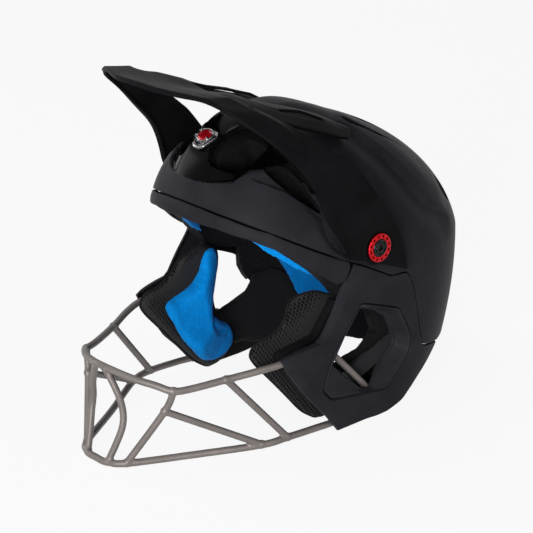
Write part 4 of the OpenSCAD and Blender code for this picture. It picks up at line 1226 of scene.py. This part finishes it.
def make_screw_set(ring_finish, hub_finish, arm_finish):
    """The red grip ring with its holes, the screw's head and the arm's rim round them."""
    ring, ring_faces = lathe(RING_PROFILE, 144)
    turn, radius = polar(ring)
    scallop = 0.35 * (radius > 11.5) * np.clip(np.cos(turn * 24), 0, 1) ** 2
    ring[:, :2] *= (1 - scallop / radius)[:, None]
    piece = new_object("grip_ring_left", at_pivot((ring, ring_faces)), ring_finish)
    holes = []
    turn = np.linspace(0, 2 * math.pi, 20, endpoint=False)
    for angle in np.radians(30 * np.arange(12) + 8):
        x, y = HOLE_CIRCLE * np.cos(angle), HOLE_CIRCLE * np.sin(angle)
        rings = [np.c_[x + r * np.cos(turn), y + r * np.sin(turn), np.full(20, float(h))]
                 for r, h in HOLE_PROFILE]
        holes.append(at_pivot(loft(rings)))
    declared(cut(piece, holes), "ring_red", ["visor_ring_left"], "knob_left", 35)
    hub, hub_faces = lathe(HUB_PROFILE)
    turn, radius = polar(hub)
    lobes = (radius < 2.9) & (hub[:, 2] > 0)
    hub[:, :2] *= np.where(lobes, 1 + 0.16 * np.cos(turn * 6), 1)[:, None]
    hub[:, 2] -= 0.55 * ((radius > 3.4) & (radius < 6) & (hub[:, 2] > 1)) * np.clip(np.cos(turn * 6), 0, 1)
    caps = part("screw_head_left", at_pivot((hub, hub_faces)), hub_finish, "screw_black",
                ["visor_screw_left"], "knob_left", angle=30)
    return piece, caps, part("arm_boss_left", at_pivot(lathe(BOSS_PROFILE, 120)), arm_finish,
                             "visor_matte", (), "visor", angle=50)


BADGE_PLACE, BADGE_LEAN = (0, -87.5, 245.6), math.radians(32)
BADGE_OUTLINE = [(-12, 4), (-9.5, 8), (0, 9.4), (9.5, 8), (12, 4), (10, -2), (7, -9), (3, -12),
                 (-3, -12), (-7, -9), (-10, -2)]


def on_forehead(solid, scale=1, shift=0):
    """From a badge drawn flat, facing +Z, to its place on the forehead."""
    x, y, z = (np.asarray(solid[0], float) * scale + shift).T
    c, s = math.cos(BADGE_LEAN), math.sin(BADGE_LEAN)
    return np.stack([x, y * c - z * s, y * s + z * c], 1) + BADGE_PLACE, solid[1]


def make_badge(chrome, red):
    """A bright setting with claws and ribs round a plain red stone."""
    outline = rounded_outline(BADGE_OUTLINE, 0.12, 2)
    away = unit(outline - (0, -0.5))
    levels = ((0.6, -0.4), (1.0, 0), (2.4, 0), (3.2, -0.7), (3.5, -1.6), (3.2, -2.6), (2.9, -4.5))
    rings = [np.c_[outline + away * grow, np.full(len(outline), height)] for height, grow in levels]
    oval = (1.25, 1, 1), (0, 1.5, 0)
    bezel = lathe([(5.7, 2.6), (6.9, 2.6), (7.1, 3.6), (6.9, 4.3), (6.4, 4.6), (6.0, 4.3), (5.7, 3.6)])
    solids = [on_forehead(loft(rings)), on_forehead(bezel, *oval)]
    for angle in np.radians((35, 145, 215, 325)):
        c, s = math.cos(angle), math.sin(angle)
        line = [(across * c * 1.1, up * s + 1.5, height) for across, up, height in
                ((8.4, 6.9, 3.0), (8.1, 6.7, 4.9), (7.0, 5.7, 5.4), (6.2, 5.0, 5.2))]
        solids.append(on_forehead(swept(curve(line, 4), 1.7, 1.2, ref=(c, s, 0.1), sides=12, square=2.6)))
    for side in (1, -1):
        for line in ([(side * 2.2, -5.6, 3.4), (side * 5.4, -5.0, 3.5), (side * 8.2, -1.4, 3.5)],
                     [(side * 1.2, -8.6, 3.4), (side * 4.2, -8.2, 3.4), (side * 6.4, -5.6, 3.5)]):
            solids.append(on_forehead(swept(curve(line, 4), 1.3, 1.0, sides=10)))
    part("badge_mount", joined(*solids), chrome, "badge_chrome", ["badge_setting"], angle=32)
    stone = lathe([(0, 3.1), (5.9, 3.1), (5.9, 4.2), (5.0, 4.85), (3.0, 5.2), (0, 5.3)])
    part("badge_stone", on_forehead(stone, *oval), red, "badge_red", ["badge_disc"], angle=30)


# ---- cage ----

TUBE = 3.0
LOW_Z = TUBE * math.cos(math.radians(18))


HOOP_WIDTH, STRUT_WIDTH, WELD_RADIUS, CAGE_VOXEL = 6.2, 6.0, 3.9, 0.85
UPPER_HOOP = [(0, -208.5, 83), (30, -200, 78), (48, -190, 74), (60, -180.5, 69.5), (66, -166, 69),
              (77, -139.5, 71.8), (88, -117, 75), (94.5, -97.5, 77), (94.8, -75, 77.5), (94, -50, 77.5)]
LOWER_HOOP = [(0, -219.5, LOW_Z), (9, -219.5, LOW_Z), (15, -217.5, LOW_Z), (28, -208.5, LOW_Z + 0.5),
              (58, -161, LOW_Z + 2.4), (88, -115, LOW_Z + 5.6), (93.5, -92, LOW_Z + 6.4),
              (94.5, -60, LOW_Z + 4.6), (94, -40, LOW_Z + 3.2), (93, 10, LOW_Z + 3)]
STRUTS = {
    "front": [(7, -208, 81.5), (17, -205, 62), (20.5, -203.5, 47), (21.5, -205.5, 34), (18, -211, 18),
              (14, -217.5, 3)],
    "corner": [(60, -180.5, 69.5), (53, -185.2, 50.9), (27.7, -208.5, 3.5)],
    "cross": [(53, -185.2, 50.9), (88, -115, 9)],
    "side": [(77, -139.5, 71.8), (93.5, -92, 9.6)],
    "rear": [(94, -52, 77.5), (93, -35, 62.6), (93, -2, 24.4), (93, 11, 6)]}


def make_cage(finish):
    """Hoops and bars melted together at rounded welds."""
    solids, welds = [], []
    for hoop in (UPPER_HOOP, LOWER_HOOP):
        half = np.array(hoop, float)
        whole = np.concatenate([half[:0:-1] * (-1, 1, 1), half])
        solids.append(swept(curve(whole, 6), HOOP_WIDTH, HOOP_WIDTH, sides=20))
    for strut in STRUTS.values():
        line = curve(strut, 6 if len(strut) > 4 else 8)
        solids += [swept(line * (side, 1, 1), STRUT_WIDTH, STRUT_WIDTH, sides=20) for side in (1, -1)]
        welds += [strut[0], strut[-1]]
    around = np.linspace(0, 2 * math.pi, 14, endpoint=False)
    for x, y, z in welds:
        for side in (1, -1):
            rings = []
            for t in np.linspace(0, math.pi, 9)[1:-1]:
                wide, high = WELD_RADIUS * math.sin(t), max(z + WELD_RADIUS * math.cos(t), 0.2)
                rings.append(np.c_[side * x + wide * np.cos(around), y + wide * np.sin(around),
                                   np.full(14, high)])
            solids.append(loft(rings))
    piece = remeshed(new_object("face_cage", joined(*solids), finish), CAGE_VOXEL, 5)
    piece.data.materials.clear()
    piece.data.materials.append(finish)
    nodes = ["cage_upper_hoop", "cage_lower_hoop"] + [
        f"cage_{name}_strut_{side}" for name in STRUTS for side in ("left", "right")]
    return declared(piece, "cage_grey", nodes, angle=60)


# ---- chin strap ----

STRAP_PATH = [(94.8, 51, 61), (94.2, 45, 59), (91, 38.5, 56.7), (86.8, 31, 54), (86.4, 22, 50.7),
              (86.8, 6, 45.3), (87.4, -8, 40.5), (87.4, -15, 38.2), (86.1, -17.6, 37.4), (84.8, -15, 38.2),
              (84.8, -4, 41.8), (84.8, 8, 45.7)]


STRAP_WIDTH, STRAP_THICK = 16, 1.7
STITCH_ROWS = ((8, 40, 6.4), (8, 40, -6.4), (340, 392, 6.0), (340, 392, -6.0))


def make_strap(finish, thread):
    """The left half's webbing and its stitches."""
    line = curve(STRAP_PATH, 10)
    ref, out = np.array((0, 0.31, -0.95)), np.array((0.95, 0, 0))
    strap = part("strap_web_left", swept(line, STRAP_WIDTH, STRAP_THICK, ref=ref, sides=28, square=7),
                 finish, "webbing", ["strap_left"], angle=50)
    stitches, path = [], evenly(line, 400)
    for low, high, offset in STITCH_ROWS:
        for k in range(low, high, 7):
            a, b = path[k], path[min(399, k + 4)]
            for face in (out, -out):
                shift = ref * offset + face
                stitches.append(swept([a + shift, (a + b) / 2 + shift + face * 0.25, b + shift],
                                      0.7, 0.5, sides=6))
    return strap, part("strap_stitches_left", joined(*stitches), thread, "webbing", angle=60)


# ---- floor and light ----

FLOOR_HALF, FLOOR_Z, FLOOR_GLOW = 6, -0.0008, 0.9


def add_floor():
    """Pale paper that is lit where lamps and shadows fall, and near white to the camera."""
    paper = bpy.data.materials.new("floor_paper")
    t = Tree(paper)
    lit = t.node("ShaderNodeBsdfDiffuse", {}, {"Color": (0.82, 0.82, 0.82, 1)})
    t.shown("ShaderNodeOutputMaterial", t.node("ShaderNodeMixShader", {}, {
        0: t.white_rays() * FLOOR_GLOW, 1: lit, 2: t.node("ShaderNodeEmission")}))
    mesh = bpy.data.meshes.new("floor")
    corners = [(x * FLOOR_HALF, y * FLOOR_HALF, FLOOR_Z) for x, y in ((-1, -1), (1, -1), (1, 1), (-1, 1))]
    mesh.from_pydata(corners, [], [(0, 1, 2, 3)])
    mesh.materials.append(paper)
    linked("floor", mesh)


def add_world():
    """White behind the helmet, and a soft cool light from all round."""
    world = bpy.data.worlds.new("studio")
    bpy.context.scene.world = world
    t = Tree(world)
    soft = t.node("ShaderNodeBackground", {}, {"Color": (0.9, 0.94, 1, 1), "Strength": 0.22})
    white = t.node("ShaderNodeBackground", {}, {"Strength": 1.0})
    t.shown("ShaderNodeOutputWorld", t.node("ShaderNodeMixShader", {}, {
        0: t.white_rays(), 1: soft, 2: white}))


# ---- the helmet ----

add_camera()
bpy.context.scene.view_settings.view_transform = "Standard"
add_floor()
add_world()
add_lamp("key", (1.15, -1.85, 0.55), (0, -0.05, 0.14), (1.0, 0.9), 44)
add_lamp("side", (2.1, 0.3, 0.8), (0, 0, 0.14), (0.8, 1.0), 4)
add_lamp("top", (-0.6, -0.2, 2.0), (0, 0, 0.2), (0.7, 0.6), 6)
add_lamp("far", (-1.9, -0.9, 0.7), (0, 0, 0.12), (0.9, 0.9), 9)

shell_black = moulded("matte_shell_paint", (0.0185, 0.0185, 0.0225), 0.44, gloss=0.03)
shell_gloss = moulded("gloss_shell_paint", (0.0006, 0.0006, 0.0007), 0.14, grain=0.1, gloss=0.05)
visor_black = moulded("matte_visor_plastic", (0.0058, 0.0058, 0.0066), 0.42, grain=0.7, gloss=0.012)
bezel_grey = moulded("bezel_plastic", (0.022, 0.022, 0.026), 0.42, gloss=0.04)
clamp_black = moulded("clamp_plastic", (0.012, 0.012, 0.013), 0.45)
buckle_black = moulded("buckle_plastic", (0.014, 0.014, 0.015), 0.38, coat=0.1)
button_red = moulded("button_plastic", (0.36, 0.012, 0.018), 0.36, coat=0.1)
bush_grey = moulded("bush_plastic", (0.12, 0.125, 0.13), 0.4)
liner_black = beaded("foam_beads", (0.006, 0.006, 0.007))
pad_blue = embossed("blue_pad_cloth", (0.0, 0.23, 0.66))
# A darker copy of the blue pad cloth: painted shade, for the shade that falls on the rear pad deep inside
# the shell.
painted_shade_blue = embossed("painted_shade_blue_pad_cloth", (0.0, 0.15, 0.45))
pad_mesh = knitted("spacer_mesh", (0.0008, 0.0008, 0.001), (0.03, 0.029, 0.029), 0.0032)
lining_black = woven("black_lining_cloth", (0.006, 0.006, 0.007), sheen=0.08)
web_black = woven("strap_webbing", (0.014, 0.014, 0.016), pitch=0.0014, sheen=0.15)
thread_grey = woven("stitch_thread", (0.06, 0.06, 0.065), pitch=0.0005, sheen=0.1)
cage_grey = coated_wire("satin_grey_coat", (0.17, 0.148, 0.138))
ring_red = machined("anodised_red", (0.5, 0.012, 0.018), 0.32)
hub_black = moulded("gloss_black_plastic", (0.003, 0.003, 0.0034), 0.14, grain=0.15, coat=0.1, gloss=0.15)
bright_metal = machined("bright_metal", (0.62, 0.62, 0.63), 0.3, turned=False)
dark_metal = machined("dark_metal", (0.09, 0.09, 0.095), 0.35, turned=False)
badge_chrome = machined("badge_chrome", (0.3, 0.3, 0.31), 0.2, turned=False)
badge_red = machined("badge_red_enamel", (0.42, 0.004, 0.01), 0.22, metallic=0.4)

make_upper_shell(shell_black, shell_gloss)
make_brow_band(shell_black)
make_visor(visor_black)
make_crown_liner(liner_black)
make_nape_liner(liner_black)
twin(make_cheek_shell(shell_black))
twin(make_ear_bezel(bezel_grey))
twin(make_cheek_liner(liner_black))
twin(make_cheek_pad(pad_blue))
twin(*make_mesh_pad(pad_mesh, lining_black))
make_head_pad("brow_cushion", "brow_pad", brow_place, thick=6.0, cols=90, rows=24, finish=pad_blue,
              slot="pad_blue", cap=2.5, fill=0.55,
              seams=[((-90, -90, -90), (0.45, 0.55, 0.64)), ((-122, -124, -126), (0.5, 0.6, 0.68)),
                     ((-58, -56, -54), (0.5, 0.6, 0.68))])
# The rear pad wears the darker copy of the pad cloth, whose blue holds painted shade.
make_head_pad("rear_cushion", "rear_pad", rear_place, thick=6.0, cols=90, rows=70, finish=painted_shade_blue,
              slot="pad_blue", cap=2.5, fill=0.55,
              seams=[(azimuths, (0.62, 0.9, 1.2, 1.55)) for azimuths in ((60, 60, 62, 66),
                                                                        (120, 120, 118, 114))])
make_head_pad("crown_lining", "crown_pad", crown_place, thick=6.0, cols=60, rows=24,
              finish=lining_black, slot="lining_black", cap=2.0, fill=0.4)
make_head_pad("nape_lining", "nape_panel", nape_place, thick=2.6, cols=160, rows=26,
              finish=lining_black, slot="lining_black", cap=0.8, fill=0.3, flatness=0.95)
twin(*make_screw_set(ring_red, hub_black, visor_black))
make_badge(badge_chrome, badge_red)
make_cage(cage_grey)
twin(*make_strap(web_black, thread_grey))

CAD_FINISHES = {
    "cage_clamp_left": clamp_black, "cage_clamp_right": clamp_black, "clamp_screws": dark_metal,
    "pivot_insert_left": bright_metal, "pivot_insert_right": bright_metal,
    "strap_anchor_left": clamp_black, "strap_anchor_right": clamp_black,
    "visor_bush_left": bush_grey, "visor_bush_right": bush_grey,
    "buckle_body": buckle_black, "buckle_tongue": buckle_black, "buckle_button": button_red,
}
for name, finish in CAD_FINISHES.items():
    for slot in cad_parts[name].material_slots:
        slot.material = finish
